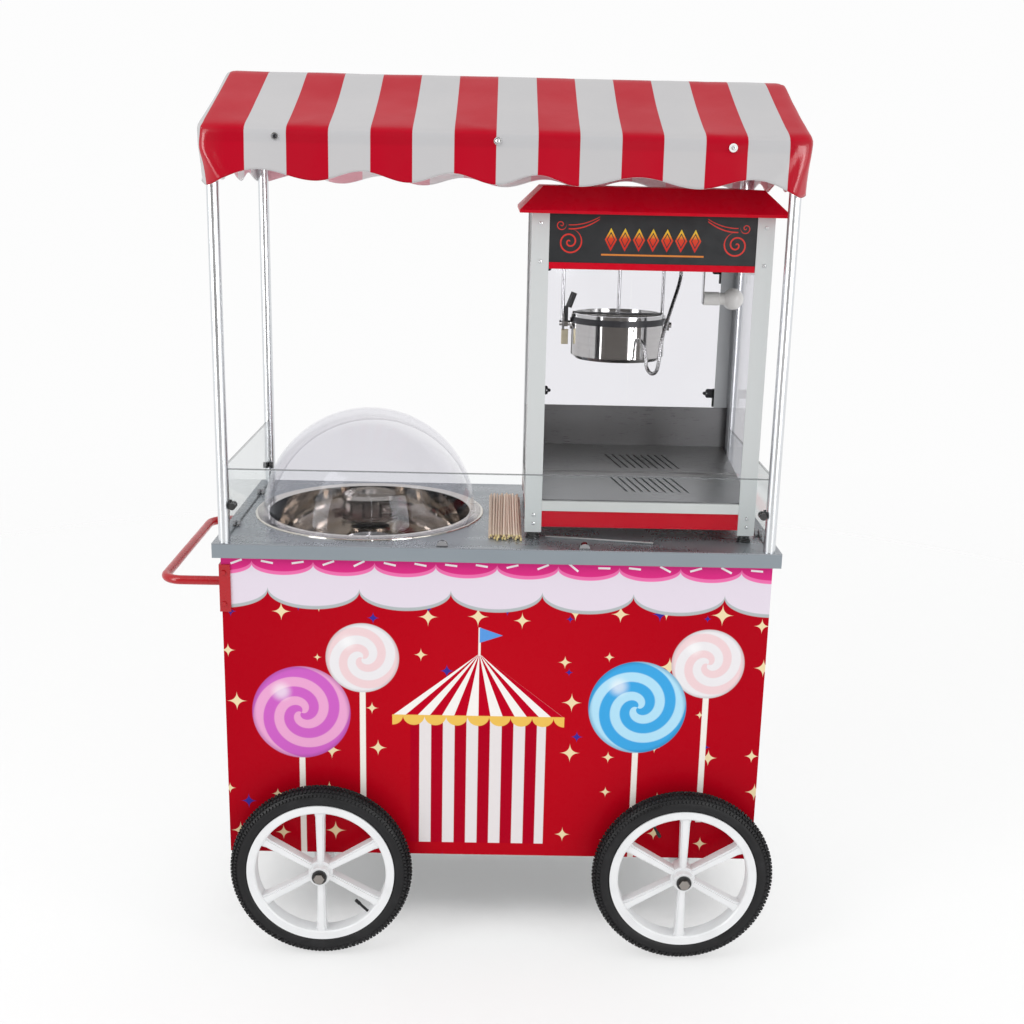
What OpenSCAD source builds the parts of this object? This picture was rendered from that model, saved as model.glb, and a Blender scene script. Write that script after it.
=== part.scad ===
// Street food cart with a cotton candy bowl and a popcorn cabinet under a striped canopy.
// Millimetres, +Z up, -Y is the customer side, +X is the popcorn end.
// The origin lies on the ground under the middle of the whole cart.

/* [Worktop and cabinet] */
// Length of the worktop, left to right
top_w = 1212; // [1100:1:1400]
// Depth of the worktop, front to back
top_d = 598; // [570:1:680]
// Height of the worktop surface above the ground
top_z = 948; // [920:1:1000]
// Height of the folded edge of the worktop
top_edge = 32; // [26:1:40]
// Sheet thickness of the worktop tray
top_sheet = 2; // [1:0.5:3]
// How far the worktop stands out past the cabinet ends
overhang_x = 15; // [8:1:30]
// How far the worktop stands out past the cabinet front and back
overhang_y = 16; // [8:1:24]
// Height of the lower edge of the cabinet above the ground
cab_bottom = 220; // [216:1:260]
// Sheet thickness of the cabinet panels
panel_t = 2; // [1:0.5:3]
// Outer width of the square frame tube
tube = 30; // [25:1:35]
// Wall of every frame tube
tube_wall = 2; // [1.5:0.5:3]
// From the cabinet end to the rear door opening
door_margin = 51; // [45:1:140]
// Height of the lower edge of the rear door opening
door_low = 430; // [420:1:500]
// Height of the upper edge of the rear door opening
door_high = 842; // [800:1:846]
// Depth of the folded pan of a rear door
door_depth = 18; // [12:1:24]

/* [Wheels] */
// Outer diameter of a tyre
wheel_d = 406; // [396:1:412]
// Diameter of the round tyre section
tyre_section = 50; // [44:1:54]
// Distance between the two axles
axle_spacing = 808; // [740:1:820]
// Sideways offset of the axle pair from the middle of the cabinet
axle_offset = 24; // [0:1:30]
// From the cabinet front to the middle plane of a wheel
wheel_gap = 46; // [44:1:60]
// Diameter of an axle
axle_d = 16; // [14:1:18]
// Width of a wheel hub
hub_w = 68; // [60:1:72]
// Diameter of a wheel hub
hub_d = 44; // [40:1:56]
// Number of spokes
spokes = 6; // [5:1:7]

/* [Push handle] */
// Diameter of the handle tube
handle_d = 20; // [16:1:24]
// From the cabinet end to the middle of the grip tube
handle_reach = 134; // [110:1:160]
// From the cabinet front to the middle of a handle arm
handle_inset = 28; // [25:1:60]
// Height of the handle above the ground
handle_z = 852; // [820:1:860]
// Radius of the handle bends
handle_bend = 42; // [30:1:60]

/* [Cotton candy unit] */
// From the middle of the worktop to the bowl flange
bowl_start = 35; // [30:1:45]
// From the worktop end to the bowl flange
bowl_end = 41; // [38:1:60]
// Worktop left free in front of and behind the bowl flange, each
bowl_margin = 34; // [32:1:50]
// Front to back place of the bowl
bowl_y = 8; // [0:1:9]
// Width of the bowl flange
flange_w = 32; // [30:1:40]
// Depth of the bowl
bowl_depth = 170; // [150:1:190]
// Sheet thickness of the bowl
bowl_t = 1.5; // [1:0.5:2]
// How far the dome wall stands outside the bowl opening
dome_seat = 13; // [8:1:15]
// Wall of the dome
dome_t = 3; // [2:0.5:4]
// Diameter of the spinner head
spinner_d = 130; // [100:1:150]
// Height of the spinner head
spinner_h = 82; // [70:1:90]
// Diameter of the drive motor
motor_d = 110; // [90:1:130]
// Length of the drive motor
motor_h = 130; // [100:1:140]

/* [Canopy] */
// Diameter of a canopy post
post_d = 25; // [22:1:28]
// From the worktop end to the middle of a post
post_inset_x = 25.3; // [22:0.1:32]
// From the worktop front edge to the middle of a post
post_inset_y = 15.4; // [15:0.1:20]
// Height of the eave of the canopy above the ground
eave_z = 1794; // [1780:1:1850]
// Rise of the ridge above the eave
ridge_rise = 126; // [90:1:160]
// How far the eave rail stands in front of the posts
eave_reach = 13; // [8:1:20]
// Length of the hanging valance at its longest
valance_h = 106; // [90:1:115]
// Height of the waves in the lower edge of the valance
scallop_h = 18; // [10:1:30]
// Number of waves along the front
scallops_long = 6; // [5:1:8]
// Number of waves along an end
scallops_short = 3; // [2:1:4]
// How far the valance swells out at its lower edge
fold_depth = 9; // [4:1:12]
// Thickness of the canopy cloth
cloth_t = 1.5; // [1:0.5:2]

/* [Guards] */
// Height of the clear guard sheets
guard_h = 160; // [130:1:180]
// Thickness of the guard sheets
guard_t = 4; // [3:0.5:5]

/* [Popcorn cabinet] */
// From the middle of the worktop to the popcorn cabinet
pop_start = 58; // [56:1:70]
// From the worktop end to the popcorn cabinet
pop_end = 48; // [42:1:60]
// From the worktop front edge to the popcorn cabinet
pop_front = 79; // [75:1:90]
// From the worktop back edge to the popcorn cabinet
pop_back = 103; // [90:1:115]
// Height of a foot
foot_h = 17; // [12:1:22]
// From the foot top to the lower edge of the base
base_lift = 12; // [8:1:14]
// Height of the base tray
base_h = 36; // [32:1:42]
// Height of the bottom rail above the base
rail_h = 22; // [18:1:26]
// Leg width of a corner angle
angle_w = 36; // [30:1:38]
// Thickness of a corner angle
angle_t = 2.5; // [2:0.5:3]
// Thickness of a pane
pane_t = 4; // [3:0.5:5]
// Height of the header underside above the worktop
header_low = 583; // [560:1:590]
// Height of the roof eave above the worktop
roof_low = 695; // [680:1:700]
// How far the roof stands out past the cabinet
roof_out = 26; // [15:1:35]
// Rise of the roof above its eave lip
roof_rise = 48; // [30:1:50]
// Height of the vertical eave lip of the roof
roof_lip = 6; // [4:1:8]
// Sheet thickness inside the popcorn cabinet
sheet = 1.5; // [1:0.5:2]
// Height of the rear kick panel above the worktop
kick_top = 228; // [200:1:250]
// Rise of the slotted deck from front to back
deck_rise = 42; // [20:1:50]

/* [Kettle] */
// Place of the kettle from the middle of the popcorn cabinet
kettle_off = -47; // [-52:1:-40]
// Diameter of the kettle
kettle_d = 210; // [190:1:216]
// Height of the kettle underside above the worktop
kettle_low = 374; // [360:1:380]
// Height of the kettle wall
kettle_h = 92; // [80:1:96]
// Wall of the kettle
kettle_t = 3; // [2:0.5:4]
// Height of the heater housing under the kettle floor
heater_h = 22; // [16:1:28]
// Diameter of the stirrer rod
rod_d = 8; // [6:1:10]

/* [Clearances] */
// Gap between pieces that pass each other
gap = 0.3; // [0.2:0.1:0.5]
// Radial play of a running fit
play = 0.05; // [0.02:0.01:0.1]

/* [Hidden] */
$fn = 72;

// Colours as the photo shows them
red = [0.78, 0.02, 0.06];
steel = [0.78, 0.79, 0.80];
film_grey = [0.38, 0.42, 0.46];
alu = [0.82, 0.84, 0.86];
black = [0.06, 0.06, 0.07];
white = [0.93, 0.93, 0.93];
clear = [0.86, 0.92, 0.95, 0.3];
wood = [0.80, 0.64, 0.42];

// Cabinet
cab_w = top_w - 2 * overhang_x;
cab_d = top_d - 2 * overhang_y;
frame_w = cab_w - 2 * panel_t;
frame_d = cab_d - 2 * panel_t;
tray_z = top_z - top_sheet;
lip_gap = 1;
floor_z = cab_bottom + tube;
door_gap = 1.5;
door_open_w = cab_w - 2 * door_margin;
door_w = door_open_w / 2 - 1.5 * door_gap;
door_h = door_high - door_low - 2 * door_gap;
hinge_h = 44;
hinge_leaf_w = 30;
hinge_leaf_t = 2;
knuckle_r = 4.5;
hinge_pin_r = 2.2;
pull_r = 5;
pull_len = 120;
pull_in = 40;
pull_out = 24;

// Wheels
wheel_r = wheel_d / 2;
wheel_y = cab_d / 2 + wheel_gap;
axle_r = axle_d / 2;
axle_xs = [axle_offset - axle_spacing / 2, axle_offset + axle_spacing / 2];
tyre_mid_r = wheel_r - tyre_section / 2;
bead_r = tyre_mid_r - tyre_section / 2 + 11;
bed_r = bead_r - 12;
rim_in_r = bed_r - 7;
rim_half = 20;
collar_r = 14;
nut_h = 12;
nut_r = 12;
cap_r = 16.5;
cap_t = 4;
saddle_w = 44;
saddle_t = 26;

// Whole length, which centres the origin
right_end = max(top_w / 2, axle_xs[1] + wheel_r);
left_end = -(cab_w / 2 + handle_reach + handle_d / 2);
shift_x = -(right_end + left_end) / 2;

// Handle
handle_half = cab_d / 2 - handle_inset;

// Candy unit
bowl_flange_d = min(top_d - 2 * bowl_margin, top_w / 2 - bowl_start - bowl_end);
bowl_x = -bowl_start - bowl_flange_d / 2;
bowl_d = bowl_flange_d - 2 * flange_w;
dome_r = bowl_d / 2 + dome_seat;
flange_h = 3;
bowl_top = top_z + flange_h;
bowl_r = bowl_d / 2;
bowl_low = bowl_top - bowl_depth;
motor_top = bowl_low - 8;
spinner_low = bowl_low + 16;
shaft_r = 6;
strap_w = 44;
strap_t = 4;
control_w = 200;
control_h = 52;
control_z = (door_high + top_z - top_edge) / 2 + 3;
control_depth = tube - 1;

// Canopy
post_x = top_w / 2 - post_inset_x;
post_y = top_d / 2 - post_inset_y;
post_r = post_d / 2;
rail = post_d;
rail_y = post_y + eave_reach;
cover_x = post_x + rail / 2 + gap + cloth_t;
cover_y = rail_y + rail / 2 + gap + cloth_t;
ridge_z = eave_z + ridge_rise;
slope = atan2(ridge_rise, cover_y);
cloth_drop = cloth_t / cos(slope);
rail_top = ridge_z - (rail_y + rail / 2) * tan(slope) - cloth_drop - gap / cos(slope);
post_top = rail_top - rail;

// Popcorn cabinet
pop_w = top_w / 2 - pop_start - pop_end;
pop_d = top_d - pop_front - pop_back;
pop_x = pop_start + pop_w / 2;
pop_y = (pop_front - pop_back) / 2;
angle_z = top_z + foot_h;
base_z = angle_z + base_lift;
base_top = base_z + base_h;
rail_top_z = base_top + rail_h;
header_z = top_z + header_low;
roof_z = top_z + roof_low;
pop_half_w = pop_w / 2;
pop_half_d = pop_d / 2;
in_w = pop_half_w - angle_t;
in_d = pop_half_d - angle_t;
open_half = pop_half_w - angle_w;
kick_z = top_z + kick_top;
pop_door_w = open_half - 1.5 * door_gap;
pop_door_h = header_z - kick_z - 2 * door_gap;
drawer_half = open_half - 14;
drawer_h = base_h - 2 * sheet - 7;

// Kettle
kettle_x = pop_x + kettle_off;
kettle_r = kettle_d / 2;
kettle_z = top_z + kettle_low;
kettle_rim = kettle_z + kettle_h;
pivot_z = kettle_rim - 17;
pivot_r = 6;
bar_half = 9;
bar_h = 6;
lid_axis_y = bar_half + 4;
lid_axis_z = kettle_rim + 4;
lid_t = 2.5;
rod_r = rod_d / 2;
rod_top = header_z - 11;
dog_h = 10;
arm_back = 110;

// Points on an arc, centre c, from angle a to angle b, in n steps
function arc(c, r, a, b, n) = [for (i = [0:n]) c + r * [cos(a + (b - a) * i / n), sin(a + (b - a) * i / n)]];

// Box between two corners
module box(low, high) {
    translate(low) cube(high - low);
}

// Round bars along each axis, between two values
module bar_x(r, a, b) {
    translate([a, 0, 0]) rotate([0, 90, 0]) cylinder(r = r, h = b - a);
}
module bar_y(r, a, b) {
    translate([0, b, 0]) rotate([90, 0, 0]) cylinder(r = r, h = b - a);
}

// Place children at the four corners of a rectangle
module corners(x, y) {
    for (sx = [-1, 1], sy = [-1, 1]) translate([sx * x, sy * y, 0]) children();
}

// Cabinet frame: the same runs drawn at full size and at bore size
module frame_runs(half, over) {
    cx = frame_w / 2 - tube / 2;
    cy = frame_d / 2 - tube / 2;
    low = cab_bottom + tube / 2;
    high = tray_z - tube / 2;
    corners(cx, cy) box([-half, -half, cab_bottom - over], [half, half, tray_z + over]);
    for (z = [low, high], s = [-1, 1]) {
        box([-cx, s * cy - half, z - half], [cx, s * cy + half, z + half]);
        box([s * cx - half, -cy, z - half], [s * cx + half, cy, z + half]);
    }
    for (x = axle_xs) box([x - half, -cy, low - half], [x + half, cy, low + half]);
}
module cabinet_frame() {
    color(white) union() {
        difference() {
            frame_runs(tube / 2, 0);
            frame_runs(tube / 2 - tube_wall, 1);
        }
        for (x = axle_xs, s = [-1, 1]) translate([x, s * (frame_d / 2 - tube / 2), 0]) saddle();
    }
}
// Block under the frame that carries an axle
module saddle() {
    difference() {
        union() {
            box([-saddle_w / 2, -saddle_t / 2, wheel_r], [saddle_w / 2, saddle_t / 2, cab_bottom]);
            translate([0, 0, wheel_r]) bar_y(saddle_w / 2, -saddle_t / 2, saddle_t / 2);
        }
        translate([0, 0, wheel_r]) bar_y(axle_r + play, -saddle_t, saddle_t);
        box([-saddle_w, -saddle_t, cab_bottom], [saddle_w, saddle_t, cab_bottom + saddle_w]);
    }
}

hub_out = wheel_y + hub_w / 2;
hub_in = wheel_y - hub_w / 2;
module axles() {
    color(steel) for (x = axle_xs) translate([x, 0, wheel_r]) {
        bar_y(axle_r, -hub_out - nut_h + 2, hub_out + nut_h - 2);
        for (s = [0, 180]) rotate([0, 0, s])
            bar_y(collar_r, frame_d / 2 - tube / 2 + saddle_t / 2, hub_in - gap);
    }
}
module axle_nuts() {
    color(black) for (x = axle_xs, s = [0, 180]) translate([x, 0, wheel_r]) rotate([0, 0, s]) axle_nut();
}
// Hub cap with the axle nut in its middle
module axle_nut() {
    difference() {
        union() {
            bar_y(cap_r, hub_out + gap, hub_out + cap_t);
            translate([0, hub_out + nut_h, 0]) rotate([90, 0, 0])
                cylinder(r = nut_r, h = nut_h - cap_t, $fn = 6);
        }
        bar_y(axle_r, hub_out - 1, hub_out + nut_h - 2);
    }
}

// Half section of the rim channel, radius and height
rim_section = [
    [rim_in_r, -rim_half + 3], [rim_in_r + 3, -rim_half], [bead_r, -rim_half], [bead_r, -rim_half + 3.5],
    [bead_r - 9, -rim_half + 5], [bed_r, -9], [bed_r, 9], [bead_r - 9, rim_half - 5],
    [bead_r, rim_half - 3.5], [bead_r, rim_half], [rim_in_r + 3, rim_half], [rim_in_r, rim_half - 3]
];
valve_r = 4;
valve_len = 38;
hub_step = 5;
hub_wall = 9;
spoke_t = 22;
spoke_root = 7.5;
spoke_tip = 10;
spoke_foot = 15;
spoke_rib = 0.6;
// Moulded wheel with its axis on Z
module rim(valve_angle) {
    difference() {
        union() {
            rotate_extrude($fn = 144) polygon(rim_section);
            cylinder(r = hub_d / 2, h = hub_w, center = true);
            cylinder(r = hub_d / 2 + hub_step, h = spoke_t + 6, center = true);
            for (i = [0:spokes - 1]) rotate([0, 0, 90 + i * 360 / spokes]) spoke();
        }
        cylinder(r = axle_r + play, h = hub_w + 2, center = true);
        for (s = [-1, 1]) translate([0, 0, s * hub_w / 2])
            cylinder(r = hub_d / 2 - hub_wall, h = 4, center = true);
        rotate([0, 0, valve_angle]) bar_x(valve_r + play, rim_in_r - 4, bed_r + 4);
    }
}
// One spoke that widens to the rim and flares into it, with a rib on each face
module spoke() {
    tip = rim_in_r + 2;
    root = hub_d / 2 - 4;
    linear_extrude(spoke_t, center = true) spoke_outline(root, tip, 1);
    linear_extrude(spoke_t + 8, center = true) spoke_outline(root, tip, spoke_rib);
}
// Outline of a spoke from the hub to the rim, with its widths times share
module spoke_outline(root, tip, share) {
    flare = tip - 14;
    for (s = [0, 1]) mirror([0, s, 0]) polygon(concat(
        [[root, -0.1], [root, share * spoke_root], [flare, share * spoke_tip]],
        [[tip - 4, share * (spoke_tip + spoke_foot) / 2], [tip, share * spoke_foot], [tip, -0.1]]));
}
tread_rows = 3;
// Tyre with inner hollow, shoulder grooves and valve stem, axis on Z
module tyre(valve_angle) {
    wall = 4.5;
    difference() {
        union() {
            rotate_extrude($fn = 144) difference() {
                translate([tyre_mid_r, 0]) circle(tyre_section / 2);
                polygon([for (p = rim_section) [p[0] < bed_r - 2 ? 0 : p[0], p[1]]]);
                for (s = [-1, 1], k = [0:tread_rows - 1]) translate([tyre_mid_r, 0]) rotate(s * (14 + 24 * k))
                    translate([tyre_section / 2, 0]) square([3.2, 3], center = true);
            }
            rotate([0, 0, valve_angle]) bar_x(valve_r, rim_in_r - valve_len, bed_r + 2);
        }
        rotate_extrude($fn = 144) translate([tyre_mid_r + 1, 0]) circle(tyre_section / 2 - wall);
        rotate([0, 0, valve_angle]) bar_x(1.2, rim_in_r - valve_len - 1, tyre_mid_r);
    }
}
// Stand a wheel up at its place, outer face outwards
module at_wheel(i, s) {
    translate([axle_xs[i], s * wheel_y, wheel_r]) rotate([90, 0, s > 0 ? 180 : 0]) children();
}
// Valve angle of each wheel, seen from outside
valve_angles = [-45, 120, 60, 120];
module wheel_rim(i, s, k) {
    color(white) at_wheel(i, s) rim(valve_angles[k]);
}
module wheel_tyre(i, s, k) {
    color(black) at_wheel(i, s) tyre(valve_angles[k]);
}

// Sheet panels
module front_panel() {
    color(red) box([-cab_w / 2, -cab_d / 2, cab_bottom], [cab_w / 2, -frame_d / 2, tray_z]);
}
module end_panels() {
    color(white) for (s = [0, 180]) rotate([0, 0, s])
        box([frame_w / 2, -frame_d / 2, cab_bottom], [cab_w / 2, frame_d / 2, tray_z]);
}
module floor_panel() {
    notch = tube + gap;
    color(steel) difference() {
        box([-frame_w / 2, -frame_d / 2, floor_z], [frame_w / 2, frame_d / 2, floor_z + panel_t]);
        corners(frame_w / 2, frame_d / 2) cube([2 * notch, 2 * notch, 4 * floor_z], center = true);
    }
}
rocker_w = 19;
rocker_hole_h = 27;
control_xs = [bowl_x - 60, bowl_x, bowl_x + 60];
knob_shaft_r = 3;
module back_panel() {
    color(white) difference() {
        box([-cab_w / 2, frame_d / 2, cab_bottom], [cab_w / 2, cab_d / 2, tray_z]);
        box([-door_open_w / 2, 0, door_low], [door_open_w / 2, cab_d, door_high]);
        for (i = [0, 1]) translate([control_xs[i], cab_d / 2, control_z])
            cube([rocker_w, cab_d, rocker_hole_h], center = true);
        translate([control_xs[2], cab_d / 2, control_z]) bar_y(knob_shaft_r + play, -cab_d, cab_d);
    }
}

// Butt hinge with a leaf of overlapping lobes, pin on Z at the origin, leaf towards +X
module hinge_leaf(low, high) {
    knuckle_y = knuckle_r + 0.5;
    translate([0, -knuckle_y + hinge_leaf_t, (low + high) / 2])
    rotate([90, 0, 0]) linear_extrude(hinge_leaf_t) {
        translate([0, -(high - low) / 2]) square([hinge_leaf_w * 0.55, high - low]);
        for (s = [-1, 1]) translate([hinge_leaf_w * 0.55, s * (high - low) * 0.26])
            circle((high - low) * 0.24);
        translate([hinge_leaf_w * 0.8, 0]) circle((high - low) * 0.2);
    }
}
// Fixed half: leaf, lower knuckle and pin
module hinge_fixed() {
    hinge_leaf(-hinge_h / 2, hinge_h / 2);
    translate([0, 0, -hinge_h / 2]) cylinder(r = knuckle_r, h = hinge_h / 2 - gap / 2);
    translate([0, 0, -hinge_h / 2]) cylinder(r = hinge_pin_r, h = hinge_h);
}
// Moving half: leaf and upper knuckle round the pin
module hinge_moving() {
    difference() {
        union() {
            hinge_leaf(gap / 2, hinge_h / 2);
            translate([0, 0, gap / 2]) cylinder(r = knuckle_r, h = hinge_h / 2 - gap / 2);
        }
        cylinder(r = hinge_pin_r + play, h = hinge_h, center = true);
    }
}
// The fixed half clears the moving knuckle
module hinge_fixed_clear() {
    difference() {
        hinge_fixed();
        difference() {
            translate([0, 0, -gap / 2]) cylinder(r = knuckle_r + gap, h = hinge_h);
            cylinder(r = hinge_pin_r, h = 3 * hinge_h, center = true);
        }
    }
}
hinge_y = knuckle_r + 0.5;
door_hinge_zs = [door_low + 70, door_high - 70];
door_axis_x = door_open_w / 2;
door_axis_y = cab_d / 2 + hinge_y;
module cabinet_hinges() {
    color(steel) for (z = door_hinge_zs, s = [0, 1]) mirror([s, 0, 0])
        translate([door_axis_x, door_axis_y, z]) hinge_fixed_clear();
}
// Folded pan door for the right side, with its hinge halves and a bar handle
module pan_door() {
    x1 = door_open_w / 2 - door_gap;
    x0 = x1 - door_w;
    z0 = door_low + door_gap;
    z1 = z0 + door_h;
    y1 = cab_d / 2;
    difference() {
        box([x0, y1 - door_depth, z0], [x1, y1, z1]);
        box([x0 + panel_t, y1 - door_depth - 1, z0 + panel_t], [x1 - panel_t, y1 - panel_t, z1 - panel_t]);
    }
    for (z = door_hinge_zs) translate([door_axis_x, door_axis_y, z]) mirror([1, 0, 0]) hinge_moving();
    hz = (z0 + z1) / 2;
    for (s = [-1, 1]) translate([x0 + pull_in, 0, hz + s * pull_len * 0.4])
        bar_y(pull_r * 0.8, y1 - panel_t / 4, y1 + pull_out);
    translate([x0 + pull_in, y1 + pull_out, hz - pull_len / 2]) cylinder(r = pull_r, h = pull_len);
}
module cabinet_door_left() {
    color(white) mirror([1, 0, 0]) pan_door();
}
module cabinet_door_right() {
    color(white) pan_door();
}

// Folded tray with a return lip and the bowl hole
module worktop() {
    lip = overhang_y - lip_gap;
    lip_x = overhang_x - lip_gap;
    color(film_grey) difference() {
        box([-top_w / 2, -top_d / 2, top_z - top_edge], [top_w / 2, top_d / 2, top_z]);
        box([-top_w / 2 + top_sheet, -top_d / 2 + top_sheet, top_z - top_edge + top_sheet],
            [top_w / 2 - top_sheet, top_d / 2 - top_sheet, tray_z]);
        box([-top_w / 2 + lip_x, -top_d / 2 + lip, 0], [top_w / 2 - lip_x, top_d / 2 - lip, tray_z]);
        translate([bowl_x, bowl_y, top_z - 2 * top_edge]) cylinder(r = bowl_r + bowl_t + 2, h = 4 * top_edge);
    }
}

// Bent grip tube with an angle bracket at each corner
plate_h = 106;
plate_t = 4;
plate_front = 24;
plate_side = 72;
module push_handle() {
    r = handle_d / 2;
    x0 = -cab_w / 2 - plate_t;
    x1 = -cab_w / 2 - handle_reach;
    color(red) union() {
        translate([0, 0, handle_z]) difference() {
            handle_line(x0, x1, r, 0);
            handle_line(x0, x1, r - tube_wall, 1);
        }
        for (s = [0, 1]) mirror([0, s, 0]) translate([0, 0, handle_z - plate_h / 2 - 7]) difference() {
            box([x0, -cab_d / 2 - plate_t, 0], [x0 + plate_front, -cab_d / 2 + plate_side, plate_h]);
            box([x0 + plate_t, -cab_d / 2, -1], [x0 + plate_front + 1, cab_d, plate_h + 1]);
        }
    }
}
// Middle line of the handle swept with a round section
module handle_line(x0, x1, r, over) {
    bend = handle_bend;
    for (s = [0, 1]) mirror([0, s, 0]) {
        translate([0, -handle_half, 0]) bar_x(r, x1 + bend, x0 + over);
        translate([x1 + bend, -handle_half + bend, 0]) rotate([0, 0, 180])
            rotate_extrude(angle = 90) translate([bend, 0]) circle(r);
    }
    translate([x1, 0, 0]) bar_y(r, -handle_half + bend, handle_half - bend);
}

// Spun bowl with a rolled flange
module candy_bowl() {
    r = bowl_r;
    f = bowl_flange_d / 2;
    roll = flange_h;
    fillet = 40;
    lip = 6;
    outer = concat(
        [[46, bowl_low], [r + bowl_t - fillet, bowl_low]],
        arc([r + bowl_t - fillet, bowl_low + fillet], fillet, -90, 0, 8),
        [[r + bowl_t, bowl_top - bowl_t], [f - roll, bowl_top - bowl_t], [f - roll, top_z]],
        arc([f - roll, top_z], roll, 0, 90, 6));
    inner = concat(
        [[r, bowl_top]],
        arc([r + bowl_t - fillet, bowl_low + fillet], fillet - bowl_t, 0, -90, 8),
        [[46 + bowl_t, bowl_low + bowl_t], [46 + bowl_t, bowl_low + lip], [46, bowl_low + lip]]);
    color(steel) translate([bowl_x, bowl_y, 0]) rotate_extrude($fn = 144) polygon(concat(outer, inner));
}

// Clear dome with a flat rim and the cut-out for the stick at the back
dome_rim_w = 13;
dome_cut_y = 60;
dome_cut_lean = 27;
dome_sink = 8;
module candy_dome() {
    r = dome_r;
    color(clear) translate([bowl_x, bowl_y, bowl_top]) difference() {
        rotate_extrude($fn = 144) polygon(concat(
            [[r + dome_rim_w, 0], [r + dome_rim_w, dome_t]],
            arc([0, -dome_sink], r, asin((dome_t + dome_sink) / r), 90, 40),
            arc([0, -dome_sink], r - dome_t, 90, asin(dome_sink / (r - dome_t)), 40)));
        translate([0, dome_cut_y, 14]) rotate([-dome_cut_lean, 0, 0])
            translate([-r, 0, -14 * tan(dome_cut_lean)]) cube([2 * r, 2 * r, 2 * r]);
    }
}

// Spinner head with a ring of outlet slots, on its drive shaft
spinner_slots = 24;
module spinner_head() {
    r = spinner_d / 2;
    color(alu) translate([bowl_x, bowl_y, spinner_low]) {
        difference() {
            rotate_extrude() polygon([
                [0, 0], [r - 14, 0], [r, 14], [r, spinner_h - 10], [r - 5, spinner_h], [30, spinner_h],
                [26, spinner_h - 14], [26, 20], [0, 20]]);
            difference() {
                for (i = [0:spinner_slots / 2 - 1]) rotate([0, 0, i * 360 / spinner_slots])
                    box([-2 * r, -1.5, 24], [2 * r, 1.5, spinner_h - 18]);
                cylinder(r = r - 9, h = spinner_h);
            }
        }
        translate([0, 0, motor_top - spinner_low - 40])
            cylinder(r = shaft_r, h = spinner_low - motor_top + 41);
    }
}
// Drive motor with cooling fins and a shaft boss
module candy_motor() {
    r = motor_d / 2;
    color(black) translate([bowl_x, bowl_y, motor_top - motor_h]) difference() {
        union() {
            cylinder(r = r - 4, h = motor_h - 12);
            for (k = [1:6]) translate([0, 0, k * motor_h / 9]) cylinder(r = r, h = 4);
            cylinder(r = r, h = 6);
            translate([0, 0, motor_h - 13]) cylinder(r = 22, h = 13);
        }
        translate([0, 0, motor_h - 42]) cylinder(r = shaft_r + play, h = 50);
    }
}
// Strap from rail to rail that carries the motor
module motor_bracket() {
    y = frame_d / 2 - tube;
    z = motor_top - motor_h;
    color(steel) translate([bowl_x, 0, 0]) {
        for (s = [0, 180]) rotate([0, 0, s])
            box([-strap_w / 2, y - strap_t, z - strap_t], [strap_w / 2, y, tray_z - gap]);
        box([-strap_w / 2, -y, z - strap_t], [strap_w / 2, y, z]);
        translate([0, bowl_y, z - strap_t]) cylinder(r = motor_d / 2, h = strap_t);
    }
}

// Switch housing behind the back panel
module control_box() {
    x0 = bowl_x - control_w / 2;
    y1 = frame_d / 2;
    color(black) difference() {
        translate([x0, y1 - control_depth, control_z - control_h / 2])
            cube([control_w, control_depth, control_h]);
        box([x0 + panel_t, y1 - control_depth + panel_t, control_z - control_h / 2 + panel_t],
            [x0 + control_w - panel_t, y1 + 1, control_z + control_h / 2 - panel_t]);
    }
    color(black) translate([x0, y1 - control_depth / 2, control_z]) difference() {
        bar_x(9, -16, 0);
        bar_x(4, -17, 1);
    }
}
// Rocker tilted to its off side, pivot on X at the origin, face towards +Y
rocker_tilt = 8;
rocker_pin_r = 2;
module rocker() {
    w = rocker_w - 0.8;
    h = rocker_hole_h - 2.6;
    bar_x(rocker_pin_r, -w / 2 - gap, w / 2 + gap);
    rotate([-rocker_tilt, 0, 0]) intersection() {
        box([-w / 2, -7, -h / 2], [w / 2, 9, h / 2]);
        translate([0, -12, 0]) bar_x(20, -w / 2, w / 2);
    }
}
module motor_switch() {
    color(red) translate([control_xs[0], cab_d / 2, control_z]) rocker();
}
module heat_switch() {
    color(red) translate([control_xs[1], cab_d / 2, control_z]) rocker();
}
// Heat knob with grip flutes
module heat_knob() {
    color(black) translate([control_xs[2], cab_d / 2, control_z]) {
        difference() {
            union() {
                bar_y(16, gap, 5);
                bar_y(13, gap, 18);
            }
            for (i = [0:11]) rotate([0, i * 30, 0]) translate([14.2, 0, 0]) bar_y(2.4, 6, 20);
        }
        bar_y(knob_shaft_r, -12, 2);
    }
}

// Canopy posts slip over stubs on the worktop
module canopy_posts() {
    color(alu) corners(post_x, post_y) translate([0, 0, top_z]) difference() {
        cylinder(r = post_r, h = post_top - top_z);
        translate([0, 0, -1]) cylinder(r = post_r - tube_wall, h = post_top);
    }
}
stub_h = 40;
module post_stubs() {
    color(steel) corners(post_x, post_y) translate([0, 0, top_z])
        cylinder(r = post_r - tube_wall - play, h = stub_h);
}
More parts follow.
